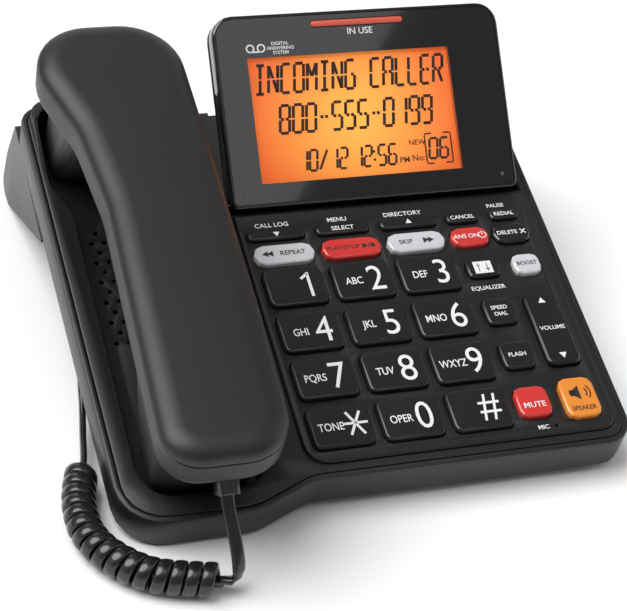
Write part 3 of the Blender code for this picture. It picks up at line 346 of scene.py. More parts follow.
def cordLine():
    # the whole centre line, with the direction that the flat side faces at each point
    origin = Vector((deck["origin"][0], deck["origin"][1], 0.0))
    lead = smoothPath([Vector(point) + origin for point in cord["leadRoute"]], cord["leadStep"])
    height = cord["coilRadius"] + cord["lift"]
    middle = smoothPath([Vector((x, y, height)) + origin for x, y in cord["coilRoute"]], cord["coilStep"])
    plug = deckMatrix @ Vector(cord["plug"])
    tail = [Vector(point) + origin for point in cord["baseRoute"]]
    tail = smoothPath(tail + [plug - Vector((cord["plugStraight"], 0, 0)), plug], cord["leadStep"])
    radius = cord["coilRadius"] - cord["thickness"] / 2
    step = cord["pitch"] / cord["pointsPerTurn"]
    middle = smoothPath(middle[::6] + [middle[-1]], step)
    turns = []
    last = len(middle) - 1
    eased = cord["easedTurns"] * cord["pointsPerTurn"]
    for i, point in enumerate(middle):
        ahead = middle[min(i + 1, last)]
        behind = middle[max(i - 1, 0)]
        along = (ahead - behind).normalized()
        side = along.cross(Vector((0, 0, 1))).normalized()
        rise = side.cross(along)
        ease = min(1.0, i / eased, (last - i) / eased)
        ease = ease * ease * (3 - 2 * ease)
        turn = 2 * math.pi * i / cord["pointsPerTurn"] + math.pi
        out = side * math.cos(turn) + rise * math.sin(turn)
        turns.append((point + out * radius * ease, out, along))
    line = []
    sideways = Vector((1, 0, 0))
    for i, point in enumerate(lead[:-1]):
        along = (lead[i + 1] - point).normalized()
        across = (sideways - along * sideways.dot(along)).normalized()
        line.append((point, along.cross(across), across))
    line += turns
    for i, point in enumerate(tail[1:], 1):
        along = (point - tail[i - 1]).normalized()
        across = (Vector((0, 0, 1)) - along * along.z).normalized()
        line.append((point, along.cross(across), across))
    return line


def makeCord():
    line = cordLine()
    shape = bmesh.new()
    ring = bmesh.ops.create_circle(shape, cap_ends=True, segments=cord["sides"], radius=1.0)["verts"]
    corners = [vertex.co.copy() for vertex in ring]

    def place(vertices, point, out, across):
        for vertex, corner in zip(vertices, corners):
            x = math.copysign(abs(corner.x) ** cord["squareness"], corner.x) * cord["width"] / 2
            y = math.copysign(abs(corner.y) ** cord["squareness"], corner.y) * cord["thickness"] / 2
            vertex.co = point + across * x + out * y

    points = [item[0] for item in line]
    smoothed = []
    for i, (point, out, across) in enumerate(line):
        along = (points[min(i + 1, len(points) - 1)] - points[max(i - 1, 0)]).normalized()
        near = line[max(i - 5, 0): i + 6]
        blended = sum((item[2] for item in near), Vector())
        across = (blended - along * blended.dot(along)).normalized()
        smoothed.append((point, along.cross(across), across))
    place(ring, *smoothed[0])
    edges = shape.edges[:]
    for item in smoothed[1:]:
        grown = bmesh.ops.extrude_edge_only(shape, edges=edges)
        fresh = [piece for piece in grown["geom"] if isinstance(piece, bmesh.types.BMVert)]
        edges = [piece for piece in grown["geom"] if isinstance(piece, bmesh.types.BMEdge)
                 and all(vertex in fresh for vertex in piece.verts)]
        place(fresh, *item)
    bmesh.ops.contextual_create(shape, geom=edges)
    bmesh.ops.recalc_face_normals(shape, faces=shape.faces)
    obj = addPiece("handsetCord", shape, "cord_black", None, 60.0)
    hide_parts("cord_coil", "cord_lead_handset", "cord_lead_base")
    plugs = [refine("cord_plug", 0.0003, 2), refine("cord_plug_base", 0.0003, 2)]
    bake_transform(obj)


makeCord()


# handset: a crowned upper shell on a lower shell with two cups

handset = {
    "split": 0.0400, "segments": 9, "crownInset": 0.0095, "crownHeight": 0.0057, "crownSteps": 10,
    "bandLow": 0.0330, "bellyInset": 0.0068, "bellyDrop": 0.0066, "bellySteps": 7, "chamfer": 0.0006,
    "cupTop": 0.0352, "cupSegments": 8, "cupEdge": (0.0024, 0.0016, 4), "lastAngle": 86,
    "corners": [(-0.1040, -0.1008, 0.0140), (-0.0590, -0.1008, 0.0170), (-0.0578, -0.0400, 0.0600),
                (-0.0580, 0.0500, 0.0600), (-0.0585, 0.1000, 0.0230), (-0.1145, 0.1000, 0.0210),
                (-0.1135, 0.0740, 0.0240), (-0.1050, 0.0480, 0.0400), (-0.1012, 0.0120, 0.0600)],
}
cups = {
    "earCup": {"low": (-0.1068, -0.0622, 0.0665, 0.0930), "high": (-0.1064, -0.0600, 0.0420, 0.0965),
               "bottom": -0.0086, "radius": 0.0150},
    "mouthCup": {"low": (-0.0998, -0.0618, -0.0800, -0.0590), "high": (-0.1016, -0.0600, -0.0960, -0.0360),
                 "bottom": -0.0059, "radius": 0.0110},
}


def roundedFace(shape, corners, height, segments):
    # a flat face whose corners are rounded one at a time, each with its own radius
    vertices = [shape.verts.new((u, v, height)) for u, v, radius in corners]
    shape.faces.new(vertices)
    count = len(corners)
    for i, vertex in enumerate(vertices):
        before = Vector(corners[i - 1][:2]) - Vector(corners[i][:2])
        after = Vector(corners[(i + 1) % count][:2]) - Vector(corners[i][:2])
        turn = math.pi - before.angle(after)
        reach = corners[i][2] * math.tan(turn / 2)
        bmesh.ops.bevel(
            shape, geom=[vertex], offset=reach, offset_type="OFFSET", segments=segments, profile=0.5,
            affect="VERTICES", material=-1,
        )
    return shape.faces[:]


def rectangleCorners(low, high, radius):
    return [(low[0], low[1], radius), (high[0], low[1], radius), (high[0], high[1], radius),
            (low[0], high[1], radius)]


def pushTop(shape, face, rise):
    grown = bmesh.ops.extrude_face_region(shape, geom=[face])
    fresh = [piece for piece in grown["geom"] if isinstance(piece, bmesh.types.BMVert)]
    bmesh.ops.translate(shape, vec=(0, 0, rise), verts=fresh)
    bmesh.ops.delete(shape, geom=[face], context="FACES_ONLY")
    return [piece for piece in grown["geom"] if isinstance(piece, bmesh.types.BMFace)][0]


def domed(shape, face, inset, height, steps):
    # rings that follow a quarter of an ellipse, ending in a nearly flat top
    before = (0.0, 0.0)
    for step in range(1, steps + 1):
        angle = math.radians(handset["lastAngle"]) * step / steps
        now = (inset * (1 - math.cos(angle)), height * math.sin(angle))
        bmesh.ops.inset_region(
            shape, faces=[face], thickness=now[0] - before[0], depth=0.0, use_even_offset=True, use_boundary=True
        )
        bmesh.ops.translate(shape, vec=(0, 0, now[1] - before[1]), verts=face.verts[:])
        before = now


def finishSolid(shape):
    bmesh.ops.remove_doubles(shape, verts=shape.verts, dist=0.000005)
    bmesh.ops.recalc_face_normals(shape, faces=shape.faces)
    bmesh.ops.transform(shape, matrix=deckMatrix, verts=shape.verts)


def makeCrown():
    shape = bmesh.new()
    start = handset["split"] + 0.0004
    face = roundedFace(shape, handset["corners"], start, handset["segments"])[0]
    bmesh.ops.duplicate(shape, geom=[face])
    top = pushTop(shape, face, handset["chamfer"])
    domed(shape, top, handset["crownInset"], handset["crownHeight"], handset["crownSteps"])
    finishSolid(shape)
    obj = addPiece("handsetCrown", shape, "handset", "handset", 50.0)
    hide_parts("handset_top")


def cupSolid(name, body):
    low, high = body["low"], body["high"]
    inset, drop, steps = handset["cupEdge"]
    shape = bmesh.new()
    corners = rectangleCorners((high[0], high[2]), (high[1], high[3]), body["radius"])
    top = roundedFace(shape, corners, handset["cupTop"], handset["cupSegments"])[0]
    bmesh.ops.duplicate(shape, geom=[top])
    face = pushTop(shape, top, body["bottom"] + drop - handset["cupTop"])
    middle = Vector(((high[0] + high[1]) / 2, (high[2] + high[3]) / 2, 0))
    target = Vector(((low[0] + low[1]) / 2, (low[2] + low[3]) / 2, 0))
    size = ((low[1] - low[0]) / (high[1] - high[0]), (low[3] - low[2]) / (high[3] - high[2]), 1)
    bmesh.ops.translate(shape, vec=-middle, verts=face.verts[:])
    bmesh.ops.scale(shape, vec=size, verts=face.verts[:])
    bmesh.ops.translate(shape, vec=target, verts=face.verts[:])
    domed(shape, face, inset, -drop, steps)
    finishSolid(shape)
    return looseObject(name, shape)


def combine(obj, other, operation):
    # applies the Boolean at once and keeps the piece's own object
    join = obj.modifiers.new("combine", "BOOLEAN")
    join.operation = operation
    join.solver = "EXACT"
    join.object = other
    bpy.context.view_layer.update()
    graph = bpy.context.evaluated_depsgraph_get()
    old = obj.data
    obj.data = bpy.data.meshes.new_from_object(obj.evaluated_get(graph))
    obj.modifiers.clear()
    obj.data.name = old.name + "Settled"
    bpy.data.objects.remove(other, do_unlink=True)


def dress(obj, material, smooth):
    obj.data.materials.clear()
    obj.data.materials.append(materials[material])
    obj.data.shade_smooth()
    obj.data.set_sharp_from_angle(angle=math.radians(smooth))


def makeBelly():
    shape = bmesh.new()
    face = roundedFace(shape, handset["corners"], handset["bandLow"], handset["segments"])[0]
    keep = bmesh.ops.duplicate(shape, geom=[face])["geom"]
    top = [piece for piece in keep if isinstance(piece, bmesh.types.BMFace)][0]
    top = pushTop(shape, top, handset["split"] - 0.0005 - handset["bandLow"])
    bmesh.ops.inset_region(shape, faces=[top], thickness=handset["chamfer"], depth=0.0, use_even_offset=True)
    bmesh.ops.translate(shape, vec=(0, 0, 0.0004), verts=top.verts[:])
    domed(shape, face, handset["bellyInset"], -handset["bellyDrop"], handset["bellySteps"])
    finishSolid(shape)
    obj = addPiece("handsetBelly", shape, "handset", None, 40.0)
    for name, body in cups.items():
        combine(obj, cupSolid(name, body), "UNION")
    merged = bmesh.new()
    merged.from_mesh(obj.data)
    bmesh.ops.remove_doubles(merged, verts=merged.verts, dist=0.00001)
    merged.to_mesh(obj.data)
    merged.free()
    dress(obj, "handset", 38)
    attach(obj, "handset")
    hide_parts("handset_bottom")


makeCrown()
makeBelly()
print("handset made")


# base, stand and small hardware: the bevel's width, segments and least angle

casings = {
    "top_casing": (0.00035, 2, 24.0), "bottom_casing": (0.00045, 2, 24.0), "keypad_plate": (0.00022, 2, 30.0),
    "wedge_stand": (0.0009, 3, 14.0), "display_front": (0.00030, 3, 20.0), "display_back": (0.0008, 3, 14.0),
    "hinge_rod": (0.0003, 2, 30.0), "main_board": (0.0002, 1, 30.0), "key_mat": (0.0002, 2, 30.0),
    "base_speaker": (0.0002, 2, 30.0), "hook_switch": (0.0003, 2, 30.0), "hook_plunger": (0.0003, 2, 30.0),
    "handset_jack": (0.0002, 2, 30.0), "line_jack": (0.0002, 2, 30.0), "power_jack": (0.0002, 2, 30.0),
    "ear_receiver": (0.0003, 2, 30.0), "handset_microphone": (0.0002, 2, 30.0),
    "foot_front_left": (0.0004, 3, 40.0), "foot_front_right": (0.0004, 3, 40.0),
    "foot_rear_left": (0.0003, 3, 40.0), "foot_rear_right": (0.0003, 3, 40.0),
}
for node, (width, segments, angle) in casings.items():
    refine(node, width, segments, angle)
print("casings made")


# keys: satin caps with softly rounded shoulders

keys = [
    node for node in frame["nodes"]
    if node.endswith("_key") or (node.startswith("key_") and node != "key_mat")
]
keys.append("volume_rocker")
keyEdge = {"width": 0.00055, "segments": 3, "angle": 30.0}
for node in keys:
    refine(node, keyEdge["width"], keyEdge["segments"], keyEdge["angle"])
print("keys made:", len(keys))


# lettering: flat ink just proud of the surface

ink = {"thickness": 0.00002, "lift": 0.00006, "bold": 0.00003}


def flatText(name, words, size, bold, squeeze=1.0):
    data = bpy.data.curves.new(name, "FONT")
    data.body = words
    data.size = size
    data.align_x = "CENTER"
    data.align_y = "CENTER"
    data.offset = bold
    data.extrude = ink["thickness"]
    data.resolution_u = 4
    obj = bpy.data.objects.new(name, data)
    bpy.context.scene.collection.objects.link(obj)
    bpy.context.view_layer.update()
    mesh = bpy.data.meshes.new_from_object(obj.evaluated_get(bpy.context.evaluated_depsgraph_get()))
    bpy.data.objects.remove(obj, do_unlink=True)
    shape = bmesh.new()
    shape.from_mesh(mesh)
    bpy.data.meshes.remove(mesh)
    bmesh.ops.remove_doubles(shape, verts=shape.verts, dist=0.000001)
    xs = [vertex.co.x for vertex in shape.verts]
    ys = [vertex.co.y for vertex in shape.verts]
    middle = Vector(((min(xs) + max(xs)) / 2, (min(ys) + max(ys)) / 2, 0))
    bmesh.ops.translate(shape, vec=-middle, verts=shape.verts)
    bmesh.ops.scale(shape, vec=(squeeze, 1, 1), verts=shape.verts)
    return shape


def printed(name, shape, at, matrix, body, material="legend"):
    bmesh.ops.translate(shape, vec=at, verts=shape.verts)
    bmesh.ops.transform(shape, matrix=matrix, verts=shape.verts)
    addPiece(name, shape, material, body)


def write(name, words, at, size, matrix, body, material="legend", bold=ink["bold"], squeeze=1.0):
    printed(name, flatText(name, words, size, bold, squeeze), at, matrix, body, material)


def polygon(sides, radius, turn=0.0, stretch=(1.0, 1.0), move=(0.0, 0.0)):
    shape = bmesh.new()
    bmesh.ops.create_circle(shape, cap_ends=True, segments=sides, radius=radius)
    bmesh.ops.rotate(shape, cent=(0, 0, 0), matrix=Matrix.Rotation(turn, 3, "Z"), verts=shape.verts)
    bmesh.ops.scale(shape, vec=(*stretch, 1), verts=shape.verts)
    bmesh.ops.translate(shape, vec=(*move, 0), verts=shape.verts)
    grown = bmesh.ops.extrude_face_region(shape, geom=shape.faces[:])
    fresh = [piece for piece in grown["geom"] if isinstance(piece, bmesh.types.BMVert)]
    bmesh.ops.translate(shape, vec=(0, 0, ink["thickness"] * 2), verts=fresh)
    bmesh.ops.recalc_face_normals(shape, faces=shape.faces)
    return shape


def gather(shapes):
    whole = bmesh.new()
    for shape in shapes:
        mesh = bpy.data.meshes.new("part")
        shape.to_mesh(mesh)
        shape.free()
        whole.from_mesh(mesh)
        bpy.data.meshes.remove(mesh)
    return whole


def bar(width, height, move=(0.0, 0.0), turn=0.0):
    shape = polygon(4, math.sqrt(0.5), math.pi / 4, (width, height))
    bmesh.ops.rotate(shape, cent=(0, 0, 0), matrix=Matrix.Rotation(turn, 3, "Z"), verts=shape.verts)
    bmesh.ops.translate(shape, vec=(*move, 0), verts=shape.verts)
    return shape


def arrow(size, direction, move=(0.0, 0.0)):
    # direction is the angle that the point faces
    return polygon(3, size * 0.62, direction - math.pi / 2, (1.0, 1.0), move)


def keyTop(node):
    low, high = localBox(node, deckMatrix)
    return Vector(((low.x + high.x) / 2, (low.y + high.y) / 2, high.z + ink["lift"]))


digitLegends = {
    "key_1": ("1", ""), "key_2": ("2", "ABC"), "key_3": ("3", "DEF"), "key_4": ("4", "GHI"), "key_5": ("5", "JKL"),
    "key_6": ("6", "MNO"), "key_7": ("7", "PQRS"), "key_8": ("8", "TUV"), "key_9": ("9", "WXYZ"),
    "key_star": ("*", "TONE"), "key_0": ("0", "OPER"), "key_pound": ("#", ""),
}
digitStyle = {"size": 0.0166, "shift": 0.0050, "letterShift": -0.0038, "letterSize": 0.0047}
for node, (digit, letters) in digitLegends.items():
    centre = keyTop(node)
    if node == "key_star":
        arms = ((90, 0.0094), (28, 0.0112), (152, 0.0112))
        star = gather([bar(0.0010, length, turn=math.radians(angle)) for angle, length in arms])
        printed(node + "Digit", star, centre + Vector((0.0054, 0, 0)), deckMatrix, node)
    elif node == "key_1":
        one = gather([bar(0.0012, 0.0115, (0.0008, 0)), bar(0.0011, 0.0038, (-0.0006, 0.0040), math.radians(-52))])
        printed(node + "Digit", one, centre + Vector((0.0046, -0.0002, 0)), deckMatrix, node)
    else:
        side = digitStyle["shift"] if letters else 0.0038
        write(node + "Digit", digit, centre + Vector((side, 0, 0)), digitStyle["size"], deckMatrix, node,
              bold=-0.00004, squeeze=0.86)
    if letters:
        write(node + "Letters", letters, centre + Vector((digitStyle["letterShift"], -0.0006, 0)),
              digitStyle["letterSize"], deckMatrix, node, bold=0.00004, squeeze=0.76)
nib = bmesh.new()
bmesh.ops.create_uvsphere(nib, u_segments=16, v_segments=8, radius=0.0005)
bmesh.ops.scale(nib, vec=(2.2, 1, 0.7), verts=nib.verts)
printed("keyFiveNib", nib, keyTop("key_5") + Vector((0, -0.0076, 0)), deckMatrix, "key_5", "key_black")

smallKeys = {
    "repeat_key": ("REPEAT", 0.0030, 0.0032, "darkLegend"), "play_key": ("PLAY/STOP", 0.0027, -0.0034, "darkLegend"),
    "skip_key": ("SKIP", 0.0030, -0.0044, "darkLegend"), "answer_key": ("ANS ON", 0.0028, -0.0018, "legend"),
    "delete_key": ("DELETE", 0.0026, -0.0018, "legend"), "flash_key": ("FLASH", 0.0026, 0.0, "legend"),
}
for node, (words, size, shift, colour) in smallKeys.items():
    write(node + "Word", words, keyTop(node) + Vector((shift, 0, 0)), size, deckMatrix, node, colour)
write("boostWord", "BOOST", keyTop("boost_key"), 0.0026, deckMatrix, "boost_key", "darkLegend")
for words, shift in (("SPEED", 0.0015), ("DIAL", -0.0015)):
    node = "speed_dial_key"
    write(node + words.title(), words, keyTop(node) + Vector((0, shift, 0)), 0.0025, deckMatrix, node)
write("muteWord", "MUTE", keyTop("mute_key") + Vector((0, -0.0018, 0)), 0.0034, deckMatrix, "mute_key")
write("speakerWord", "SPEAKER", keyTop("speaker_key") + Vector((0, -0.0052, 0)), 0.0028, deckMatrix, "speaker_key",
      "darkLegend", squeeze=0.88)


def iconOn(name, shapes, node, shift, material="legend"):
    printed(name, gather(shapes), keyTop(node) + Vector((*shift, 0)), deckMatrix, node, material)


left, right, above, below = math.pi, 0.0, math.pi / 2, -math.pi / 2
iconOn("repeatIcon", [arrow(0.0026, left, (-0.0009, 0)), arrow(0.0026, left, (0.0011, 0))], "repeat_key",
       (-0.0065, 0), "darkLegend")
iconOn("playIcon", [arrow(0.0026, right, (-0.0012, 0)), bar(0.0003, 0.0026, (0.0006, 0), -0.3),
                    bar(0.0018, 0.0018, (0.0022, 0))], "play_key", (0.0062, 0), "darkLegend")
iconOn("skipIcon", [arrow(0.0026, right, (-0.0009, 0)), arrow(0.0026, right, (0.0011, 0))], "skip_key",
       (0.0044, 0), "darkLegend")
iconOn("deleteIcon", [bar(0.0005, 0.0030, turn=0.8), bar(0.0005, 0.0030, turn=-0.8)], "delete_key", (0.0048, 0))
iconOn("volumeUpIcon", [arrow(0.0028, above)], "volume_rocker", (0, 0.0128))
iconOn("volumeDownIcon", [arrow(0.0028, below)], "volume_rocker", (0, -0.0128))
write("volumeWord", "VOLUME", keyTop("volume_rocker"), 0.0026, deckMatrix, "volume_rocker")
iconOn("equalizerIcon", [bar(0.0074, 0.0058)], "equalizer_key", (0, 0))
iconOn("equalizerSliders", [bar(0.0005, 0.0042, (-0.0018, 0)), bar(0.0005, 0.0042, (0.0018, 0)),
                            bar(0.0016, 0.0007, (-0.0018, 0.0011)), bar(0.0016, 0.0007, (0.0018, -0.0009))],
       "equalizer_key", (0, 0), "darkLegend")


def ringArc(radius, width, start, finish, steps=14, move=(0.0, 0.0)):
    pieces = []
    for i in range(steps):
        angle = start + (finish - start) * (i + 0.5) / steps
        span = abs(finish - start) * radius / steps * 1.15
        place = (move[0] + radius * math.cos(angle), move[1] + radius * math.sin(angle))
        pieces.append(bar(span, width, place, angle + math.pi / 2))
    return pieces


powerRing = ringArc(0.0015, 0.0004, math.radians(120), math.radians(420))
iconOn("answerIcon", powerRing + [bar(0.0004, 0.0018, (0, 0.0009))], "answer_key", (0.0050, 0))
horn = [bar(0.0022, 0.0026, (-0.0022, 0)), polygon(3, 0.0036, math.pi / 2, (0.80, 1.0), (-0.0008, 0))]
waves = ringArc(0.0026, 0.0005, -0.7, 0.7, 8, (0.0009, 0)) + ringArc(0.0040, 0.0005, -0.75, 0.75, 10, (0.0009, 0))
iconOn("speakerIcon", horn + waves, "speaker_key", (-0.0004, 0.0016), "darkLegend")
print("key lettering made")


# lettering on the plate, above and beside the keys

plateTop = localBox("keypad_plate", deckMatrix)[1].z + ink["lift"]


def onPlate(name, words, u, v, size=0.0029):
    write(name, words, Vector((u, v, plateTop)), size, deckMatrix, "base")


softRow = 0.0298
onPlate("callLogWord", "CALL LOG", -0.0294, softRow)
onPlate("menuWord", "MENU", -0.0030, softRow)
onPlate("directoryWord", "DIRECTORY", 0.0240, softRow)
onPlate("pauseWord", "PAUSE", 0.0632, softRow, 0.0026)
onPlate("equalizerWord", "EQUALIZER", 0.0474, -0.0106, 0.0027)
onPlate("micWord", "MIC", 0.0475, -0.0762, 0.0026)
for node, words, size in (("menu_key", "SELECT", 0.0028), ("cancel_key", "CANCEL", 0.0026),
                          ("redial_key", "REDIAL", 0.0026)):
    write(node + "Word", words, keyTop(node), size, deckMatrix, node)
iconOn("callLogIcon", [arrow(0.0024, below)], "call_log_key", (0, 0))
iconOn("directoryIcon", [arrow(0.0024, above)], "directory_key", (0, 0))
print("plate lettering made")


# display: printed window, amber screen with dark segments, lamp

screen = {"centre": (-0.0049, 0.0317), "size": (0.0828, 0.0492)}
pane = {"gap": 0.0001, "thickness": 0.0007, "edge": 0.00008, "depth": 0.00040}


def boxPiece(name, low, high, matrix):
    shape = bmesh.new()
    bmesh.ops.create_cube(shape, size=1.0)
    size = Vector(high) - Vector(low)
    bmesh.ops.scale(shape, vec=size, verts=shape.verts)
    bmesh.ops.translate(shape, vec=(Vector(low) + Vector(high)) / 2, verts=shape.verts)
    bmesh.ops.transform(shape, matrix=matrix, verts=shape.verts)
    return looseObject(name, shape)


def makeWindow():
    low, high = localBox("display_window", displayMatrix)
    x, y = screen["centre"]
    half = (screen["size"][0] / 2, screen["size"][1] / 2)
    border = addPiece("windowBorder", mergedCopy("display_window"), "gloss_black", None, 180.0)
    opening = boxPiece("opening", (x - half[0], y - half[1], low.z - 0.01), (x + half[0], y + half[1], high.z + 0.01),
                       displayMatrix)
    combine(border, opening, "DIFFERENCE")
    dress(border, "gloss_black", 20)
    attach(border, "display")
    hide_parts("display_window")
    shape = bmesh.new()
    bmesh.ops.create_cube(shape, size=1.0)
    size = (screen["size"][0] - pane["gap"], screen["size"][1] - pane["gap"], pane["thickness"])
    bmesh.ops.scale(shape, vec=size, verts=shape.verts)
    bmesh.ops.bevel(
        shape, geom=shape.edges[:], offset=pane["edge"], segments=2, profile=0.5, affect="EDGES", material=-1
    )
    bmesh.ops.translate(shape, vec=(x, y, high.z - pane["depth"]), verts=shape.verts)
    bmesh.ops.transform(shape, matrix=displayMatrix, verts=shape.verts)
    addPiece("windowPane", shape, "clear_window", "display", 30.0)


makeWindow()
refine("lcd_module", 0.0002, 2, 30.0)
refine("in_use_light", 0.0002, 2, 30.0)
faceZ = localBox("display_window", displayMatrix)[1].z + ink["lift"]
write("inUseWord", "IN USE", Vector((0.0008, 0.0648, faceZ)), 0.0036, displayMatrix, "display")

segmentLines = {
    "a": ((0, 1), (1, 1)), "b": ((1, 1), (1, 0.5)), "c": ((1, 0.5), (1, 0)), "d": ((0, 0), (1, 0)),
    "e": ((0, 0.5), (0, 0)), "f": ((0, 1), (0, 0.5)), "g": ((0, 0.5), (0.5, 0.5)), "h": ((0.5, 0.5), (1, 0.5)),
    "i": ((0, 1), (0.5, 0.5)), "j": ((1, 1), (0.5, 0.5)), "k": ((0.5, 0.5), (1, 0)), "l": ((0.5, 0.5), (0.5, 0)),
    "n": ((0.5, 1), (0.5, 0.5)), "z": ((0, 0), (1, 1)),
}
segmentsOf = {
    "0": "abcdef", "1": "bc", "2": "abhged", "5": "afghcd", "6": "afghcde", "8": "abcdefgh", "9": "abcdfgh",
    "A": "abcefgh", "C": "afed", "E": "afedgh", "G": "afedch", "I": "adnl", "L": "fed", "M": "efijbc", "N": "efikbc",
    "O": "abcdef", "R": "abefghk", "-": "gh", "/": "z", " ": "",
}


def segmentText(words, size, pitch, stroke, slant=0.12):
    # letters and figures of a segment screen, each made of short bars
    shapes = []
    width, height = size
    start = -pitch * (len(words) - 1) / 2
    for i, character in enumerate(words):
        for name in segmentsOf[character]:
            a, b = (Vector(point) for point in segmentLines[name])
            a = Vector(((a.x - 0.5) * width + slant * (a.y - 0.5) * height, (a.y - 0.5) * height))
            b = Vector(((b.x - 0.5) * width + slant * (b.y - 0.5) * height, (b.y - 0.5) * height))
            along = b - a
            middle = (a + b) / 2 + Vector((start + i * pitch, 0))
            shapes.append(bar(max(along.length - stroke * 0.5, stroke), stroke, middle, math.atan2(along.y, along.x)))
    return gather(shapes)


def onScreen(name, shape, x, y):
    glass = localBox("lcd_module", displayMatrix)[1].z + 0.00004
    at = Vector((screen["centre"][0] + x, screen["centre"][1] + y, glass))
    printed(name, shape, at, displayMatrix, "display", "segment")


onScreen("callerName", segmentText("INCOMING CALLER", (0.0037, 0.0112), 0.00525, 0.00125), 0.0, 0.0162)
onScreen("callerNumber", segmentText("800-555-0199", (0.0038, 0.0108), 0.00535, 0.00125), 0.0007, 0.0002)
onScreen("dateFigures", segmentText("10/12", (0.0030, 0.0080), 0.0041, 0.00100), -0.0150, -0.0166)
onScreen("timeHours", segmentText("12", (0.0030, 0.0080), 0.0041, 0.00100), 0.0012, -0.0166)
onScreen("timeMinutes", segmentText("56", (0.0031, 0.0080), 0.0043, 0.00100), 0.0113, -0.0166)
onScreen("timeColon", gather([bar(0.0010, 0.0010, (0, 0.0016)), bar(0.0010, 0.0010, (0, -0.0016))]), 0.0059, -0.0166)
onScreen("messageFigures", segmentText("06", (0.0033, 0.0080), 0.0045, 0.00100), 0.0330, -0.0155)
for name, words, x, y, size in (("afternoonWord", "PM", 0.0183, -0.0192, 0.0034),
                                ("numberWord", "No:", 0.0242, -0.0188, 0.0036),
                                ("newWord", "NEW", 0.0243, -0.0126, 0.0030)):
    onScreen(name, flatText(name, words, size, 0.00004), x, y)
brackets = [bar(0.0026, 0.0006, (side * 0.0037, rise * 0.0060)) for side in (-1, 1) for rise in (-1, 1)]
brackets += [bar(0.0006, 0.0104, (side * 0.0055, 0)) for side in (-1, 1)]
brackets += [bar(0.0011, 0.0006, (side * 0.0052, rise * 0.0057), -side * rise * math.pi / 4) for side in (-1, 1)
             for rise in (-1, 1)]
onScreen("messageFrame", gather(brackets), 0.0330, -0.0155)
reels = []
for shift in (-0.0022, 0.0022):
    reels += ringArc(0.0014, 0.0006, 0, 2 * math.pi, 14, (shift, 0))
reels.append(bar(0.0044, 0.0006, (0, -0.0014)))
printed("reelIcon", gather(reels), Vector((-0.0425, 0.0600, faceZ)), displayMatrix, "display")
for i, words in enumerate(("DIGITAL", "ANSWERING", "SYSTEM")):
    write("answering" + words.title(), words, Vector((-0.0325, 0.0616 - 0.0018 * i, faceZ)), 0.0019, displayMatrix,
          "display", bold=0.00002)
for name, x, y in (("cornerDotLeft", -0.0530, 0.0036), ("cornerDotRight", 0.0530, 0.0036)):
    printed(name, polygon(20, 0.0007), Vector((x, y, faceZ)), displayMatrix, "display", "greyDot")
print("display made")


# studio

studio = {
    "floor": (0.95, 0.95, 0.95), "floorSize": 6.0, "world": 0.22, "target": (0, 0, 0.04),
    "sun": {"from": (-0.50, 0.10, 0.86), "power": 2.9, "angle": 50.0},
    "cards": {
        "leftCard": ((-1.30, -0.10, 0.60), (1.2, 1.2), 1.4),
        "rightCard": ((1.30, -0.20, 0.50), (1.2, 1.2), 3.2),
        "rearCard": ((0.30, 1.30, 0.60), (1.6, 1.0), 3.0),
    },
    # the card that the display reflects, whose right edge crosses the face as a slanting line
    "mirrorCard": {"edge": ((0.0190, 0.0720), (-0.0330, 0.0000)), "front": 0.01015, "distance": 1.0, "width": 1.1,
                   "power": 1.8},
}


def cardLight(name, place, turn, size, power):
    data = bpy.data.lights.new(name, "AREA")
    data.shape = "RECTANGLE"
    data.size, data.size_y = size
    data.energy = power
    light = bpy.data.objects.new(name, data)
    light.location = place
    light.rotation_mode = "QUATERNION"
    light.rotation_quaternion = turn
    bpy.context.scene.collection.objects.link(light)


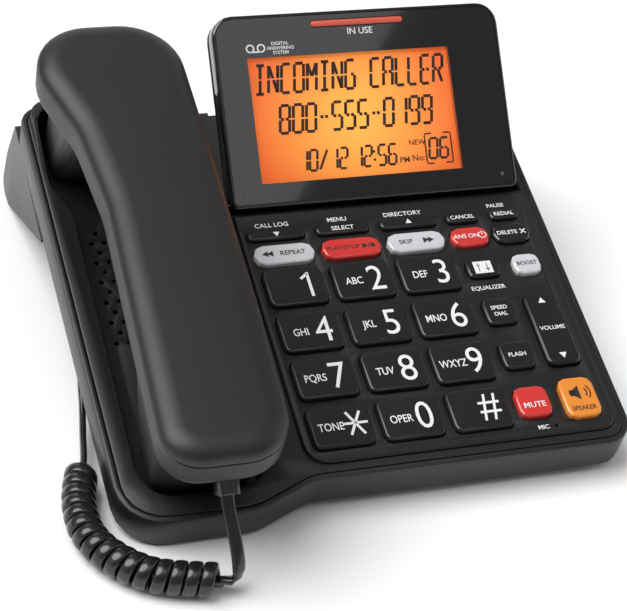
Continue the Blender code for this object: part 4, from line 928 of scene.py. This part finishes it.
def makeMirrorCard():
    card = studio["mirrorCard"]
    normal = (displayMatrix.to_3x3() @ Vector((0, 0, 1))).normalized()
    ends = []
    for x, y in card["edge"]:
        point = displayMatrix @ Vector((x, y, card["front"]))
        away = (Vector(camera["place"]) - point).normalized()
        bounce = 2 * normal.dot(away) * normal - away
        ends.append(point + bounce * card["distance"])
    top, bottom = ends
    edge = (top - bottom).normalized()
    back = -(top + bottom).normalized()
    side = edge.cross(back).normalized()
    back = side.cross(edge).normalized()
    middle = (top + bottom) / 2
    length = (top - bottom).length * 3
    turn = Matrix((side, edge, back)).transposed()
    toCamera = Vector(camera["place"]) - middle
    sign = 1.0 if side.dot(toCamera) > 0 else -1.0
    place = middle + side * sign * card["width"] / 2
    cardLight("mirrorCard", place, (turn @ Matrix.Rotation(math.pi, 3, "Y")).to_quaternion(), (card["width"], length),
              card["power"])


def makeStudio():
    shape = bmesh.new()
    bmesh.ops.create_grid(shape, x_segments=1, y_segments=1, size=studio["floorSize"])
    floor = looseObject("studioFloor", shape)
    material, nodes, links = newMaterial("paleFloor")
    nodes["Principled BSDF"].inputs["Base Color"].default_value = (*studio["floor"], 1)
    nodes["Principled BSDF"].inputs["Roughness"].default_value = 0.9
    floor.data.materials.append(material)
    world = bpy.data.worlds.new("studioWorld")
    world.use_nodes = True
    world.node_tree.nodes["Background"].inputs["Color"].default_value = (1, 1, 1, 1)
    world.node_tree.nodes["Background"].inputs["Strength"].default_value = studio["world"]
    bpy.context.scene.world = world
    data = bpy.data.lights.new("softSun", "SUN")
    data.energy = studio["sun"]["power"]
    data.angle = math.radians(studio["sun"]["angle"])
    sun = bpy.data.objects.new("softSun", data)
    sun.rotation_mode = "QUATERNION"
    sun.rotation_quaternion = Vector(studio["sun"]["from"]).to_track_quat("Z", "Y")
    bpy.context.scene.collection.objects.link(sun)
    for name, (place, size, power) in studio["cards"].items():
        turn = (Vector(studio["target"]) - Vector(place)).to_track_quat("-Z", "Y")
        cardLight(name, place, turn, size, power)
    makeMirrorCard()
    bpy.context.scene.view_settings.view_transform = "Standard"


makeStudio()
print("studio made")
